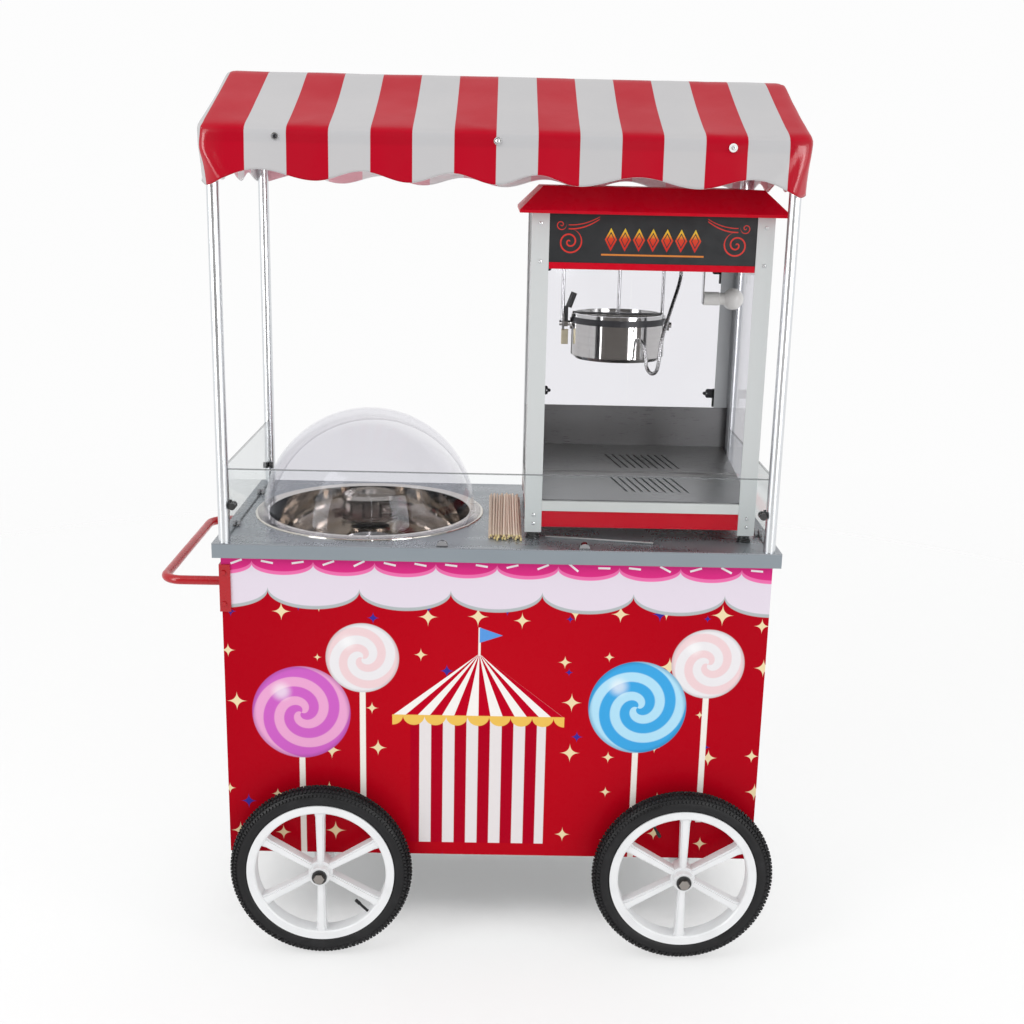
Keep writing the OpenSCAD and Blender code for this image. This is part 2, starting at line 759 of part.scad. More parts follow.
// Gable frame: eave ring, three pairs of rafters and a ridge tube
module canopy_runs(half) {
    z = rail_top - rail / 2;
    for (s = [-1, 1]) {
        box([-post_x - half, s * rail_y - half, z - half], [post_x + half, s * rail_y + half, z + half]);
        box([s * post_x - half, -rail_y, z - half], [s * post_x + half, rail_y, z + half]);
    }
}
ridge_r = 11;
rafter = 16;
module canopy_frame() {
    run = rail_y / cos(slope);
    under = cloth_drop + gap / cos(slope);
    ridge_drop = under + (ridge_r + 1) / cos(slope);
    color(alu) difference() {
        union() {
            canopy_runs(rail / 2);
            for (x = [-post_x, 0, post_x], s = [0, 180]) translate([x, 0, ridge_z - under]) rotate([0, 0, s])
                rotate([-slope, 0, 0]) box([-rafter / 2, 0, -rafter], [rafter / 2, run, 0]);
            translate([0, 0, ridge_z - ridge_drop]) bar_x(ridge_r, -post_x - rail / 2, post_x + rail / 2);
        }
        canopy_runs(rail / 2 - tube_wall);
        corners(post_x, post_y) translate([0, 0, post_top - 1]) cylinder(r = rail / 4, h = rail / 2);
        translate([0, 0, ridge_z - ridge_drop]) bar_x(ridge_r - tube_wall, -2 * post_x, 2 * post_x);
    }
}

// Canopy cloth: two slopes, gable ends and a valance that swells and dips in waves
wave_steps = 6;
valance_rows = 3;
nx = scallops_long * wave_steps;
ny = scallops_short * wave_steps;
ring_n = 2 * (nx + ny);
// Side and share of the way along it for each station round the eave
function ring_side(i) = i < nx ? 0 : i < nx + ny ? 1 : i < 2 * nx + ny ? 2 : 3;
function ring_share(i) =
    i < nx ? i / nx
    : i < nx + ny ? (i - nx) / ny
    : i < 2 * nx + ny ? (i - nx - ny) / nx
    : (i - 2 * nx - ny) / ny;
function ring_waves(i) = ring_side(i) % 2 == 0 ? scallops_long : scallops_short;
// Wave from 1 at a corner or where the hem hangs low to 0 where it lifts
function wave(i) = (1 + cos(360 * ring_waves(i) * ring_share(i))) / 2;
// Station i on an eave rectangle of half sizes x and y
function eave_point(i, x, y) =
    let (s = ring_side(i), t = 2 * ring_share(i) - 1)
    s == 0 ? [t * x, -y] : s == 1 ? [x, t * y] : s == 2 ? [-t * x, y] : [-x, -t * y];
function ring_normal(i) =
    let (s = ring_side(i)) s == 0 ? [0, -1] : s == 1 ? [1, 0] : s == 2 ? [0, 1] : [-1, 0];
// Point of row k of the valance at station i, for a skin that lies "in" inside the outer one
function skin_point(i, k, in) =
    let (down = k / valance_rows,
         p = eave_point(i, cover_x - in, cover_y - in),
         swell = fold_depth * (1 - wave(i)) * pow(down, 1.5),
         q = p + swell * ring_normal(i),
         top = eave_z - in / cos(slope) + in * tan(slope))
    [q[0], q[1], top - down * (valance_h - scallop_h * (1 - wave(i)) - in / cos(slope) + in * tan(slope))];
function ridge_point(j, in) =
    [(2 * j / nx - 1) * (cover_x - in), 0, ridge_z - in / cos(slope)];
rows_n = ring_n * (valance_rows + 1);
skin_n = rows_n + nx + 1;
function skin_points(in) = concat(
    [for (k = [0:valance_rows], i = [0:ring_n - 1]) skin_point(i, k, in)],
    [for (j = [0:nx]) ridge_point(j, in)]);
// Triangles of one skin, facing outwards, with indices from o
function skin_faces(o) = concat(
    [for (k = [0:valance_rows - 1], i = [0:ring_n - 1], h = [0, 1])
        let (a = o + k * ring_n + i, b = o + k * ring_n + (i + 1) % ring_n, c = a + ring_n, d = b + ring_n)
        h == 0 ? [a, b, d] : [a, d, c]],
    [for (j = [0:nx - 1], h = [0, 1])
        let (a = o + j, b = o + j + 1, r = o + rows_n + j)
        h == 0 ? [a, r, r + 1] : [a, r + 1, b]],
    [for (j = [0:nx - 1], h = [0, 1])
        let (a = o + nx + ny + j, b = a + 1, r = o + rows_n + nx - j)
        h == 0 ? [a, r, r - 1] : [a, r - 1, b]],
    [for (j = [0:ny - 1]) [o + nx + j, o + rows_n + nx, o + nx + j + 1]],
    [for (j = [0:ny - 1]) [o + 2 * nx + ny + j, o + rows_n, o + (2 * nx + ny + j + 1) % ring_n]]);
function flipped(faces) = [for (f = faces) [f[2], f[1], f[0]]];
hem_faces = [for (i = [0:ring_n - 1], h = [0, 1])
    let (k = valance_rows * ring_n, a = k + i, b = k + (i + 1) % ring_n, c = a + skin_n, d = b + skin_n)
    h == 0 ? [a, b, d] : [a, d, c]];
module canopy_cover() {
    color(red) polyhedron(
        points = concat(skin_points(0), skin_points(cloth_t)),
        faces = concat(skin_faces(0), flipped(skin_faces(skin_n)), hem_faces));
}

// Clear guards between the posts
sheet_end_x = post_x - post_r - gap;
sheet_end_y = post_y - post_r - gap;
module guard_sheets() {
    color(clear) {
        translate([0, -post_y, top_z])
            box([-sheet_end_x, -guard_t / 2, 0], [sheet_end_x, guard_t / 2, guard_h]);
        for (s = [-1, 1]) translate([s * post_x, 0, top_z])
            box([-guard_t / 2, -sheet_end_y, 0], [guard_t / 2, sheet_end_y, guard_h]);
    }
}
clip_w = 15;
back_clip_drop = 34;
// Round black clip on a post, at height z, that grips the edge of a sheet running along +X
module post_clip(z) {
    neck = 5;
    translate([-post_r - clip_w, 0, top_z + z]) difference() {
        union() {
            box([clip_w / 2, -neck, -neck], [clip_w, neck, neck]);
            translate([clip_w / 2, 0, 0]) bar_y(clip_w / 2, -clip_w / 2 - 6, clip_w / 2 + 3);
        }
        box([-1, -guard_t / 2, -clip_w], [clip_w - gap, guard_t / 2, clip_w]);
        translate([clip_w + post_r, 0, -clip_w]) cylinder(r = post_r, h = 2 * clip_w);
    }
}
// Half-round clamp on the worktop for a sheet running along X
module edge_clip() {
    r = 12;
    translate([0, 0, top_z]) difference() {
        bar_y(r, -guard_t / 2 - 6, guard_t / 2 + 6);
        box([-2 * r, -guard_t / 2, -r], [2 * r, guard_t / 2, 2 * r]);
        box([-2 * r, -r, -2 * r], [2 * r, r, 0]);
    }
}
front_clip_xs = post_x * [-0.203, 0.32];
side_clip_y = top_d / 4;
module guard_fittings() {
    color(black) for (sx = [0, 1]) mirror([sx, 0, 0]) {
        translate([post_x, -post_y, 0]) post_clip(guard_h / 2);
        translate([post_x, -post_y, 0]) rotate([0, 0, -90]) post_clip(guard_h / 2);
        translate([post_x, post_y, 0]) rotate([0, 0, 90]) post_clip(guard_h / 2 - back_clip_drop);
    }
    color(steel) {
        for (x = front_clip_xs) translate([x, -post_y, 0]) edge_clip();
        for (sx = [-1, 1], sy = [-1, 1]) translate([sx * post_x, sy * side_clip_y, 0])
            rotate([0, 0, 90]) edge_clip();
    }
}

// Bundle of wooden sticks on the worktop and one stick beside it
stick_r = 2.7;
stick_len = 380;
stick_x = pop_start - 42;
stick_front = 61.6 - post_y;
stick_pitch = 2 * stick_r + gap;
loose_len = 236;
loose_turn = -10;
loose_at = [pop_start + 46, pop_y - pop_half_d + 20];
module candy_sticks() {
    color(wood) {
        for (row = [0:1], i = [0:12 - row]) translate([
            stick_x + (i - 6 + row / 2) * stick_pitch, 0,
            top_z + stick_r + row * (stick_pitch * sin(60) + gap)])
            bar_y(stick_r, stick_front, stick_front + stick_len);
        translate([loose_at[0], loose_at[1], top_z + stick_r]) rotate([0, 0, loose_turn])
            bar_x(stick_r, 0, loose_len);
    }
}

// Popcorn cabinet, drawn about its own middle
module at_popper() {
    translate([pop_x, pop_y, 0]) children();
}
foot_in = 18;
module popper_feet() {
    color(black) at_popper() corners(pop_half_w - foot_in, pop_half_d - foot_in) translate([0, 0, top_z]) {
        cylinder(r = 15, h = 6);
        cylinder(r = 12, h = foot_h);
        cylinder(r = 5, h = foot_h + base_lift);
    }
}
// Red tray with a flange round its top and a drawer mouth at the back
module popper_base() {
    flange = 22;
    color(red) at_popper() difference() {
        box([-in_w, -in_d, base_z], [in_w, in_d, base_top]);
        box([-in_w + sheet, -in_d + sheet, base_z + sheet], [in_w - sheet, in_d - sheet, base_top - sheet]);
        box([-in_w + flange, -in_d + flange, base_z + sheet], [in_w - flange, in_d - flange, base_top + 1]);
        box([-drawer_half - gap, 0, base_z + sheet],
            [drawer_half + gap, pop_d, base_z + sheet + 3 * gap + drawer_h]);
    }
}
// Corner angles and grooved rails of the popcorn cabinet
module popper_frame() {
    corner_angles();
    pane_rails();
}
module corner_angles() {
    color(white) at_popper()
    for (sx = [0, 1], sy = [0, 1]) mirror([sx, 0, 0]) mirror([0, sy, 0]) difference() {
        box([pop_half_w - angle_w, pop_half_d - angle_w, angle_z], [pop_half_w, pop_half_d, roof_z]);
        box([0, 0, angle_z - 1], [in_w, in_d, roof_z + 1]);
    }
}
// Grooved rails that hold the lower edge of each pane
module pane_rails() {
    rail_t = pane_t + 2 * angle_t;
    half_x = open_half - gap;
    half_y = pop_half_d - angle_w - gap;
    color(white) at_popper() difference() {
        union() {
            box([-half_x, -pop_half_d, base_top], [half_x, -pop_half_d + rail_t, rail_top_z]);
            for (s = [-1, 1]) translate([s * (pop_half_w - rail_t / 2), 0, 0])
                box([-rail_t / 2, -half_y, base_top], [rail_t / 2, half_y, rail_top_z]);
        }
        pane_solids(base_top + 6);
    }
}
// Panes behind the corner angles, from height z to the header
module pane_solids(z) {
    box([-in_w, -in_d, z], [in_w, -in_d + pane_t, header_z]);
    for (s = [-1, 1]) translate([s * (in_w - pane_t / 2), 0, 0])
        box([-pane_t / 2, -in_d + pane_t + gap, z], [pane_t / 2, in_d - sheet, header_z]);
}
module popper_panes() {
    color(clear) at_popper() pane_solids(base_top + 6);
}
// Folded slotted deck that slopes up to the back
slots = 9;
slot_pitch = 17;
slot_w = 5;
slot_len = 100;
slot_lean = 30;
slot_mid = 50;
slot_start = 60;
slot_row = 165;
rib_w = 5;
rib_h = 3;
module popper_deck() {
    y0 = -in_d + pane_t + angle_t + gap;
    y1 = in_d - sheet - gap;
    half = in_w - pane_t - angle_t - gap;
    z0 = rail_top_z + 2;
    z1 = z0 + deck_rise;
    color(steel) at_popper() difference() {
        translate([-half, 0, 0]) rotate([90, 0, 90]) linear_extrude(2 * half) polygon([
            [y0, base_top], [y0 + sheet, base_top], [y0 + sheet, z0 - sheet], [y1 - sheet, z1 - sheet],
            [y1 - sheet, base_top], [y1, base_top], [y1, z1], [y0, z0]]);
        for (row = [0, 1], i = [0:slots - 1])
            translate([(i - slots / 2) * slot_pitch + slot_mid, y0 + slot_start + row * slot_row, base_top])
            translate([0, 0, sheet])
            linear_extrude(rail_h + deck_rise + 20)
            polygon([[0, 0], [slot_w, 0], [slot_w - slot_lean, slot_len], [-slot_lean, slot_len]]);
    }
    // Rib between the two rows of slots
    yr = y0 + slot_start + (slot_len + slot_row) / 2;
    zr = z0 + deck_rise * (yr - y0) / (y1 - y0);
    color(steel) at_popper() box([-half, yr - rib_w / 2, zr - sheet / 2], [half, yr + rib_w / 2, zr + rib_h]);
}
// Crumb drawer under the deck, pulled out at the back
module crumb_drawer() {
    y0 = -in_d + sheet + 20;
    z0 = base_z + sheet + gap;
    lip = 6;
    color(steel) at_popper() {
        difference() {
            box([-drawer_half, y0, z0], [drawer_half, in_d + angle_t, z0 + drawer_h]);
            box([-drawer_half + sheet, y0 + sheet, z0 + sheet],
                [drawer_half - sheet, in_d, z0 + drawer_h + 1]);
        }
        translate([0, 0, z0 + drawer_h / 2]) bar_y(lip, in_d + angle_t - 0.5, in_d + angle_t + 16);
    }
}
module kick_panel() {
    color(steel) at_popper() box([-in_w, in_d - sheet, base_top], [in_w, in_d, kick_z]);
}
pop_hinge_zs = [kick_z + hinge_h / 2 + 1, header_z - hinge_h / 2 - 12];
pop_axis_y = pop_half_d + hinge_y;
module popper_hinges() {
    color(black) at_popper() for (z = pop_hinge_zs, s = [0, 1]) mirror([s, 0, 0])
        translate([open_half, pop_axis_y, z]) hinge_fixed_clear();
}
// Clear door for the right side, with its hinge halves and a knob
module popper_door() {
    x1 = open_half - door_gap;
    x0 = x1 - pop_door_w;
    z0 = kick_z + door_gap;
    box([x0, pop_half_d - pane_t, z0], [x1, pop_half_d, z0 + pop_door_h]);
    for (z = pop_hinge_zs) translate([open_half, pop_axis_y, z]) mirror([1, 0, 0]) hinge_moving();
    translate([x0 + 22, 0, z0 + pop_door_h / 2]) {
        bar_y(4, pop_half_d - 0.5, pop_half_d + 12);
        bar_y(9, pop_half_d + 10, pop_half_d + 20);
    }
}
module popper_door_left() {
    color(clear) at_popper() mirror([1, 0, 0]) popper_door();
}
module popper_door_right() {
    color(clear) at_popper() popper_door();
}
// Header box: open at the top, holes for the stir shaft and the rockers
pop_switch_xs = [-50, 0, 50];
pop_switch_z = (header_z + roof_z) / 2;
module popper_header() {
    color(black) at_popper() difference() {
        box([-in_w, -in_d, header_z], [in_w, in_d, roof_z]);
        box([-in_w + sheet, -in_d + sheet, header_z + sheet], [in_w - sheet, in_d - sheet, roof_z + 1]);
        translate([kettle_off, 0, header_z - 1]) cylinder(r = rod_r + play, h = 4);
        for (x = pop_switch_xs) translate([x, in_d, pop_switch_z])
            cube([rocker_w, 40, rocker_hole_h], center = true);
    }
}
// Hip roof: two roof profiles crossed, hollow, with a floor round its edge
module hip(w, d, lip, rise) {
    intersection() {
        rotate([90, 0, 0]) linear_extrude(2 * d, center = true) hip_profile(w, lip, rise);
        rotate([90, 0, 90]) linear_extrude(2 * w, center = true) hip_profile(d, lip, rise);
    }
}
module hip_profile(half, lip, rise) {
    polygon([
        [-half, 0], [half, 0], [half, lip],
        [half - rise, lip + rise], [-half + rise, lip + rise], [-half, lip]]);
}
module popper_roof() {
    w = pop_half_w + roof_out;
    d = pop_half_d + roof_out;
    color(red) at_popper() translate([0, 0, roof_z]) difference() {
        hip(w, d, roof_lip, roof_rise);
        translate([0, 0, sheet]) hip(w - sheet, d - sheet, roof_lip - sheet, roof_rise - sheet);
        box([-in_w + 10, -in_d + 10, -1], [in_w - 10, in_d - 10, 10]);
    }
}

// Stir drive above the kettle
module at_kettle() {
    translate([kettle_x, pop_y, 0]) children();
}
module stir_motor() {
    color(steel) at_kettle() translate([0, 0, header_z + sheet]) difference() {
        union() {
            box([-40, -30, 0], [40, 30, 34]);
            translate([0, 0, 34]) cylinder(r = 27, h = 42);
        }
        translate([0, 0, -1]) cylinder(r = rod_r + play, h = 27);
    }
}
module drive_dog() {
    color(steel) at_kettle() {
        translate([0, 0, header_z - gap - dog_h]) cylinder(r = 9, h = dog_h);
        translate([0, 0, header_z - dog_h]) cylinder(r = rod_r, h = dog_h + sheet + 22);
    }
}
// Two rods from the ceiling with pivot plates for the kettle
hang_t = 5;
hang_left = kettle_r + 16;
hang_right = kettle_r + 4;
lever_h = 38;
grip_h = 34;
module kettle_hanger() {
    color(steel) at_kettle() difference() {
        union() {
            translate([-hang_left - rod_r, 0, pivot_z]) cylinder(r = rod_r, h = header_z - pivot_z);
            box([-hang_left - hang_t, -13, pivot_z - 14], [-hang_left, 13, pivot_z + 22]);
            translate([hang_right + hang_t / 2, arm_back, pivot_z])
                cylinder(r = rod_r, h = header_z - pivot_z);
            box([hang_right, -13, pivot_z - 11], [hang_right + hang_t, arm_back + rod_r, pivot_z + 11]);
        }
        translate([0, 0, pivot_z]) bar_x(pivot_r + play, -2 * kettle_r, 2 * kettle_r);
    }
}
// Kettle with heater housing, pivots, cross bar, stirrer bush and tilt lever
module kettle() {
    r = kettle_r;
    color(steel) at_kettle() difference() {
        union() {
            translate([0, 0, kettle_z]) rotate_extrude($fn = 144) polygon([
                [0, 0], [r - 8, 0], [r, 8], [r, kettle_h], [r - kettle_t, kettle_h], [r - kettle_t, heater_h],
                [0, heater_h]]);
            translate([0, 0, pivot_z]) {
                bar_x(pivot_r, r - 1, hang_right + hang_t + 6);
                bar_x(pivot_r, -hang_left - hang_t - 6, -r + 1);
                bar_x(13, -r - 3, -r + 1);
                bar_x(13, r - 1, r + 3);
            }
            translate([0, 0, kettle_rim - 1]) intersection() {
                box([-r, -bar_half, 0], [r, bar_half, bar_h]);
                cylinder(r = r, h = bar_h);
            }
            translate([0, 0, pivot_z]) box([-hang_left + gap, -7, -7], [-hang_left + 8, 7, lever_h]);
            translate([-hang_left + 9, 0, pivot_z + lever_h - 2]) rotate([0, 20, 0])
                cylinder(r = 7, h = grip_h);
        }
        translate([0, 0, kettle_z + heater_h + 10]) cylinder(r = rod_r + play, h = kettle_h + 40);
        translate([0, 0, kettle_z + heater_h - 8]) cylinder(r = rod_r + play, h = 30);
    }
}
// Half lid hinged on a rolled edge beside the cross bar, for the -Y side
module half_lid() {
    r = kettle_r - 1;
    z = kettle_rim + gap;
    at_kettle() {
        difference() {
            translate([0, 0, z]) cylinder(r = r, h = lid_t, $fn = 144);
            box([-2 * r, -lid_axis_y, 0], [2 * r, 2 * r, 2 * kettle_rim]);
        }
        difference() {
            translate([0, 0, z]) cylinder(r = r, h = lid_t + 5, $fn = 144);
            translate([0, 0, z - 1]) cylinder(r = r - 7, h = lid_t + 9, $fn = 144);
            box([-2 * r, -lid_axis_y - 8, 0], [2 * r, 2 * r, 2 * kettle_rim]);
        }
        translate([0, -lid_axis_y, lid_axis_z]) bar_x(3.5, -r + 4, r - 4);
    }
}
module lid_front() {
    color(steel) half_lid();
}
module lid_back() {
    color(steel) translate([0, 2 * pop_y, 0]) mirror([0, 1, 0]) half_lid();
}
// Stirrer rod with two swept blades on the kettle floor
module stirrer() {
    floor = kettle_z + heater_h;
    color(steel) at_kettle() {
        translate([0, 0, floor - 8 + gap]) cylinder(r = rod_r, h = rod_top - floor + 8 - gap);
        translate([0, 0, floor + gap]) {
            cylinder(r = 12, h = 9);
            for (s = [0, 180]) rotate([0, 0, s]) translate([0, -3, 0])
                cube([kettle_r - kettle_t - 8, 6, 5]);
        }
    }
}
// Metal conduit: a long sweep down from the ceiling, one loop, then into the kettle wall
conduit_r = 4;
conduit_sides = 12;
conduit_steps = 3;
conduit_side = [0.93, 0.36, 0];
// Its points for a 210 mm kettle, from the kettle axis and the height of the pivots
conduit_points = [
    [129, -50, 134], [129, -52, 112], [121, -71, 86], [103, -118, 48], [84, -166, 4],
    [76, -186, -24], [73, -192, -55], [70, -183, -78], [62, -162, -87], [54, -141, -78],
    [51, -132, -55], [48, -124, -34], [43, -111, -25], [38, -98.2, -24]
];
conduit_scale = kettle_d / 210;
conduit_last = len(conduit_points) - 1;
function conduit_point(i) =
    let (p = conduit_scale * conduit_points[max(0, min(conduit_last, i))])
    [kettle_x + p[0], pop_y + p[1], i < 1 ? header_z - gap : pivot_z + p[2]];
// Smooth way through the points, at share t from point i to the next one
function conduit_way(i, t) =
    let (a = conduit_point(i - 1), b = conduit_point(i), c = conduit_point(i + 1), d = conduit_point(i + 2))
    b + t * (c - a) / 2 + t * t * (a - 2.5 * b + 2 * c - d / 2) + pow(t, 3) * (3 * b - a - 3 * c + d) / 2;
conduit_route = concat(
    [for (i = [0:conduit_last - 1], k = [0:conduit_steps - 1]) conduit_way(i, k / conduit_steps)],
    [conduit_point(conduit_last)]);
function unit(v) = v / norm(v);
function route_dir(p, i) = unit(p[min(i + 1, len(p) - 1)] - p[max(i - 1, 0)]);
function route_ring(p, i, r, n) =
    let (t = route_dir(p, i), u = unit(cross(t, conduit_side)), v = cross(t, u))
    [for (k = [0:n - 1]) p[i] + r * (cos(360 * k / n) * u + sin(360 * k / n) * v)];
module swept_tube(p, r, n) {
    m = len(p);
    sides = [for (i = [0:m - 2], k = [0:n - 1], h = [0, 1])
        let (a = i * n + k, b = i * n + (k + 1) % n)
        h == 0 ? [a, a + n, b + n] : [a, b + n, b]];
    ends = [for (k = [1:n - 2], h = [0, 1])
        h == 0 ? [0, k, k + 1] : [(m - 1) * n, (m - 1) * n + k + 1, (m - 1) * n + k]];
    polyhedron(points = [for (i = [0:m - 1]) each route_ring(p, i, r, n)], faces = concat(sides, ends));
}
module kettle_conduit() {
    color(steel) swept_tube(conduit_route, conduit_r, conduit_sides);
}
// Warming lamp on a bracket under the ceiling
lamp_in = 100.5;
lamp_drop = 73;
lamp_cap_r = 15;
lamp_cap = 34;
bulb_r = 24;
module heat_lamp() {
    lamp_x = in_w - lamp_in;
    lamp_z = header_z - lamp_drop;
    color(white) at_popper() {
        box([lamp_x - 8, -10, lamp_z - 12], [lamp_x - 5, 10, header_z]);
        translate([lamp_x - 5, 0, lamp_z]) rotate([0, 90, 0]) rotate_extrude() polygon(concat(
            [[0, 0], [lamp_cap_r, 0], [lamp_cap_r, lamp_cap], [lamp_cap_r - 2, lamp_cap + 2]],
            arc([0, lamp_cap + 32], bulb_r, -55, 90, 12)));
    }
}
module at_pop_switch(i) {
    at_popper() translate([pop_switch_xs[i], in_d, pop_switch_z]) children();
}
module kettle_switch() {
    color(red) at_pop_switch(0) rocker();
}
module stir_switch() {
    color(red) at_pop_switch(1) rocker();
}
module lamp_switch() {
    color(red) at_pop_switch(2) rocker();
}

// Draw a node at its place from the middle of the whole cart
module placed() {
    translate([shift_x, 0, 0]) children();
}
placed() cabinet_frame();
placed() axles();
placed() axle_nuts();
placed() wheel_rim(0, -1, 0);  // rim_front_left
placed() wheel_rim(1, -1, 1);  // rim_front_right
placed() wheel_rim(0, 1, 2);  // rim_rear_left
placed() wheel_rim(1, 1, 3);  // rim_rear_right
placed() wheel_tyre(0, -1, 0);  // tyre_front_left
placed() wheel_tyre(1, -1, 1);  // tyre_front_right
placed() wheel_tyre(0, 1, 2);  // tyre_rear_left
placed() wheel_tyre(1, 1, 3);  // tyre_rear_right
placed() front_panel();
placed() end_panels();
placed() back_panel();
placed() floor_panel();
placed() cabinet_door_left();
placed() cabinet_door_right();
placed() cabinet_hinges();
placed() worktop();
placed() push_handle();
placed() candy_bowl();
placed() candy_dome();
placed() spinner_head();
placed() candy_motor();
placed() motor_bracket();
placed() control_box();
placed() motor_switch();
placed() heat_switch();
placed() heat_knob();
placed() canopy_posts();
placed() post_stubs();
placed() canopy_frame();
placed() canopy_cover();
placed() guard_sheets();
placed() guard_fittings();
placed() candy_sticks();
placed() popper_feet();
placed() popper_base();
placed() popper_frame();
placed() popper_panes();
placed() popper_deck();
placed() crumb_drawer();
placed() kick_panel();
placed() popper_door_left();
placed() popper_door_right();
placed() popper_hinges();
placed() popper_header();
placed() popper_roof();
placed() stir_motor();
placed() drive_dog();
placed() kettle_hanger();
placed() kettle();
placed() lid_front();
placed() lid_back();
placed() stirrer();
placed() kettle_conduit();
placed() heat_lamp();
placed() kettle_switch();
placed() stir_switch();
placed() lamp_switch();
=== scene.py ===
# %% [markdown]
# A street food cart: a wheeled cabinet that carries a cotton candy bowl under a clear dome, a glazed
# popcorn cabinet with a tilting kettle, and a striped canopy on four posts.
# The solids come in from the frame with their places already right, so this lesson gives them finishes
# and adds what a solid modeller does badly: cloth, tyre knobs, screws, sticks and the printed panels.
# All lengths are metres, +Z is up, -Y is the customer side and +X the popcorn end.

# %% Load the solids
import math
import bmesh
import bpy
import numpy as np
from mathutils import Matrix, Vector, noise


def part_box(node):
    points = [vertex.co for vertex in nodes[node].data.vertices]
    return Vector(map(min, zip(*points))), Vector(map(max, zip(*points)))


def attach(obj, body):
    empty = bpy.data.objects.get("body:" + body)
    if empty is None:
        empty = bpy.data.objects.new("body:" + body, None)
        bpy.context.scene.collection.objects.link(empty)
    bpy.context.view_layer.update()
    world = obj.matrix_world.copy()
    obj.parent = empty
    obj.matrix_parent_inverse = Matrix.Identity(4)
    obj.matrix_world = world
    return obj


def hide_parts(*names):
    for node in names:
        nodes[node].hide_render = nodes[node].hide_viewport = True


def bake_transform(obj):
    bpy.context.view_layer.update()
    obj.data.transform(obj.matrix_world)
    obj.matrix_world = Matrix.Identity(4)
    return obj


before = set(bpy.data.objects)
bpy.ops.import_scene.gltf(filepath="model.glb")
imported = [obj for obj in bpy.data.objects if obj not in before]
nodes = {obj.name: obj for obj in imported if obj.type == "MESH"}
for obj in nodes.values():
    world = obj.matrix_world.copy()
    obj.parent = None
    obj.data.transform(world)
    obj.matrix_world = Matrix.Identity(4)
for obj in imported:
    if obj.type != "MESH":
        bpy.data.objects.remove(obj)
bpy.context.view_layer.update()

# %% [markdown]
# What the scene adds takes its place from the solids, so that a change of size there moves it too. The
# middle of the box round a turned solid gives its axis, and the kettle's pivots are a set height over its
# bottom.

# %% Main places
PIVOT_RISE = 0.075


def middle(name):
    """Middle of the box round a solid, to a hundredth of a millimetre."""
    low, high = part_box(name)
    return tuple(round((a + b) / 2, 5) for a, b in zip(low, high))


MID = middle("worktop")[0]
TOP_Z = round(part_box("worktop")[1][2], 5)
BOWL = middle("spinner_head")[:2]
POP = middle("popper_frame")[:2]
KETTLE = middle("stirrer")[:2]
PIVOT_Z = round(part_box("kettle")[0][2] + PIVOT_RISE, 5)
print("worktop", TOP_Z, "bowl", BOWL, "popper", POP, "kettle", KETTLE, "pivots", PIVOT_Z)

# %% [markdown]
# The camera was fitted to the corners of the worktop, the wheels and the canopy. It stands almost in the
# middle, a little above the popcorn cabinet, looks down by about fourteen degrees and is rolled by one.

# %% Camera
LENS_PX = 1305.75
YAW, PITCH, ROLL = 0.0114, 0.253, 0.0223
forward = Vector((math.sin(YAW) * math.cos(PITCH), math.cos(YAW) * math.cos(PITCH), -math.sin(PITCH)))
level = Vector((math.cos(YAW), -math.sin(YAW), 0))
upright = level.cross(forward)
side = level * math.cos(ROLL) + upright * math.sin(ROLL)
upward = -level * math.sin(ROLL) + upright * math.cos(ROLL)
camera = bpy.data.objects.new("camera", bpy.data.cameras.new("camera"))
bpy.context.scene.collection.objects.link(camera)
camera.data.lens = 36 * LENS_PX / 1024
camera.data.clip_start = 0.05
camera_turn = Matrix((side, upward, -forward)).transposed().to_4x4()
camera.matrix_world = Matrix.Translation((0.0506, -2.9614, 1.7178)) @ camera_turn
bpy.context.scene.camera = camera
print("lens", round(camera.data.lens, 2))

# %% [markdown]
# A studio picture on white: a bright even surround and two soft lamps light the paint and the print.
# Polished steel shows the room it stands in, so behind the camera hangs a dark cloth with tall strip lamps
# before it: the cloth gives the steel depth and the strips give it clear bright bands. Cloth and strips are
# seen in reflections only and leave the paint alone.

# %% Light
scene = bpy.context.scene
scene.view_settings.view_transform = "Standard"
scene.world = bpy.data.worlds.new("studio")
scene.world.use_nodes = True
scene.world.node_tree.nodes["Background"].inputs["Color"].default_value = (1.0, 1.0, 1.0, 1)
scene.world.node_tree.nodes["Background"].inputs["Strength"].default_value = 0.98


def softbox(name, place, aim, size, power, on_paint=True):
    lamp = bpy.data.objects.new(name, bpy.data.lights.new(name, "AREA"))
    lamp.visible_diffuse = on_paint
    lamp.data.shape = "RECTANGLE"
    lamp.data.size, lamp.data.size_y = size
    lamp.data.energy = power
    lamp.location = place
    lamp.rotation_euler = (Vector(aim) - Vector(place)).to_track_quat("-Z", "Y").to_euler()
    scene.collection.objects.link(lamp)


softbox("key", (-2.6, -2.4, 3.6), (0, 0, 0.8), (1.6, 1.6), 34)
softbox("fill", (3.0, -2.0, 2.2), (0.1, 0, 1.0), (1.2, 2.0), 14)
softbox("strip_left", (-3.9, -3.3, 1.9), (0.0, 0, 1.1), (1.5, 3.0), 110, False)
softbox("strip_middle", (0.4, -5.0, 2.4), (0.1, 0, 1.1), (0.10, 2.6), 5, False)
softbox("strip_right", (2.7, -3.9, 1.9), (0.0, 0, 1.1), (1.6, 3.0), 120, False)

# %% [markdown]
# Meshes are made from lists of points and faces and keep their places in their points, so that every piece
# sits at the origin. Floor and cloth are the first two, and as stage they don't belong to the cart.

# %% Stage


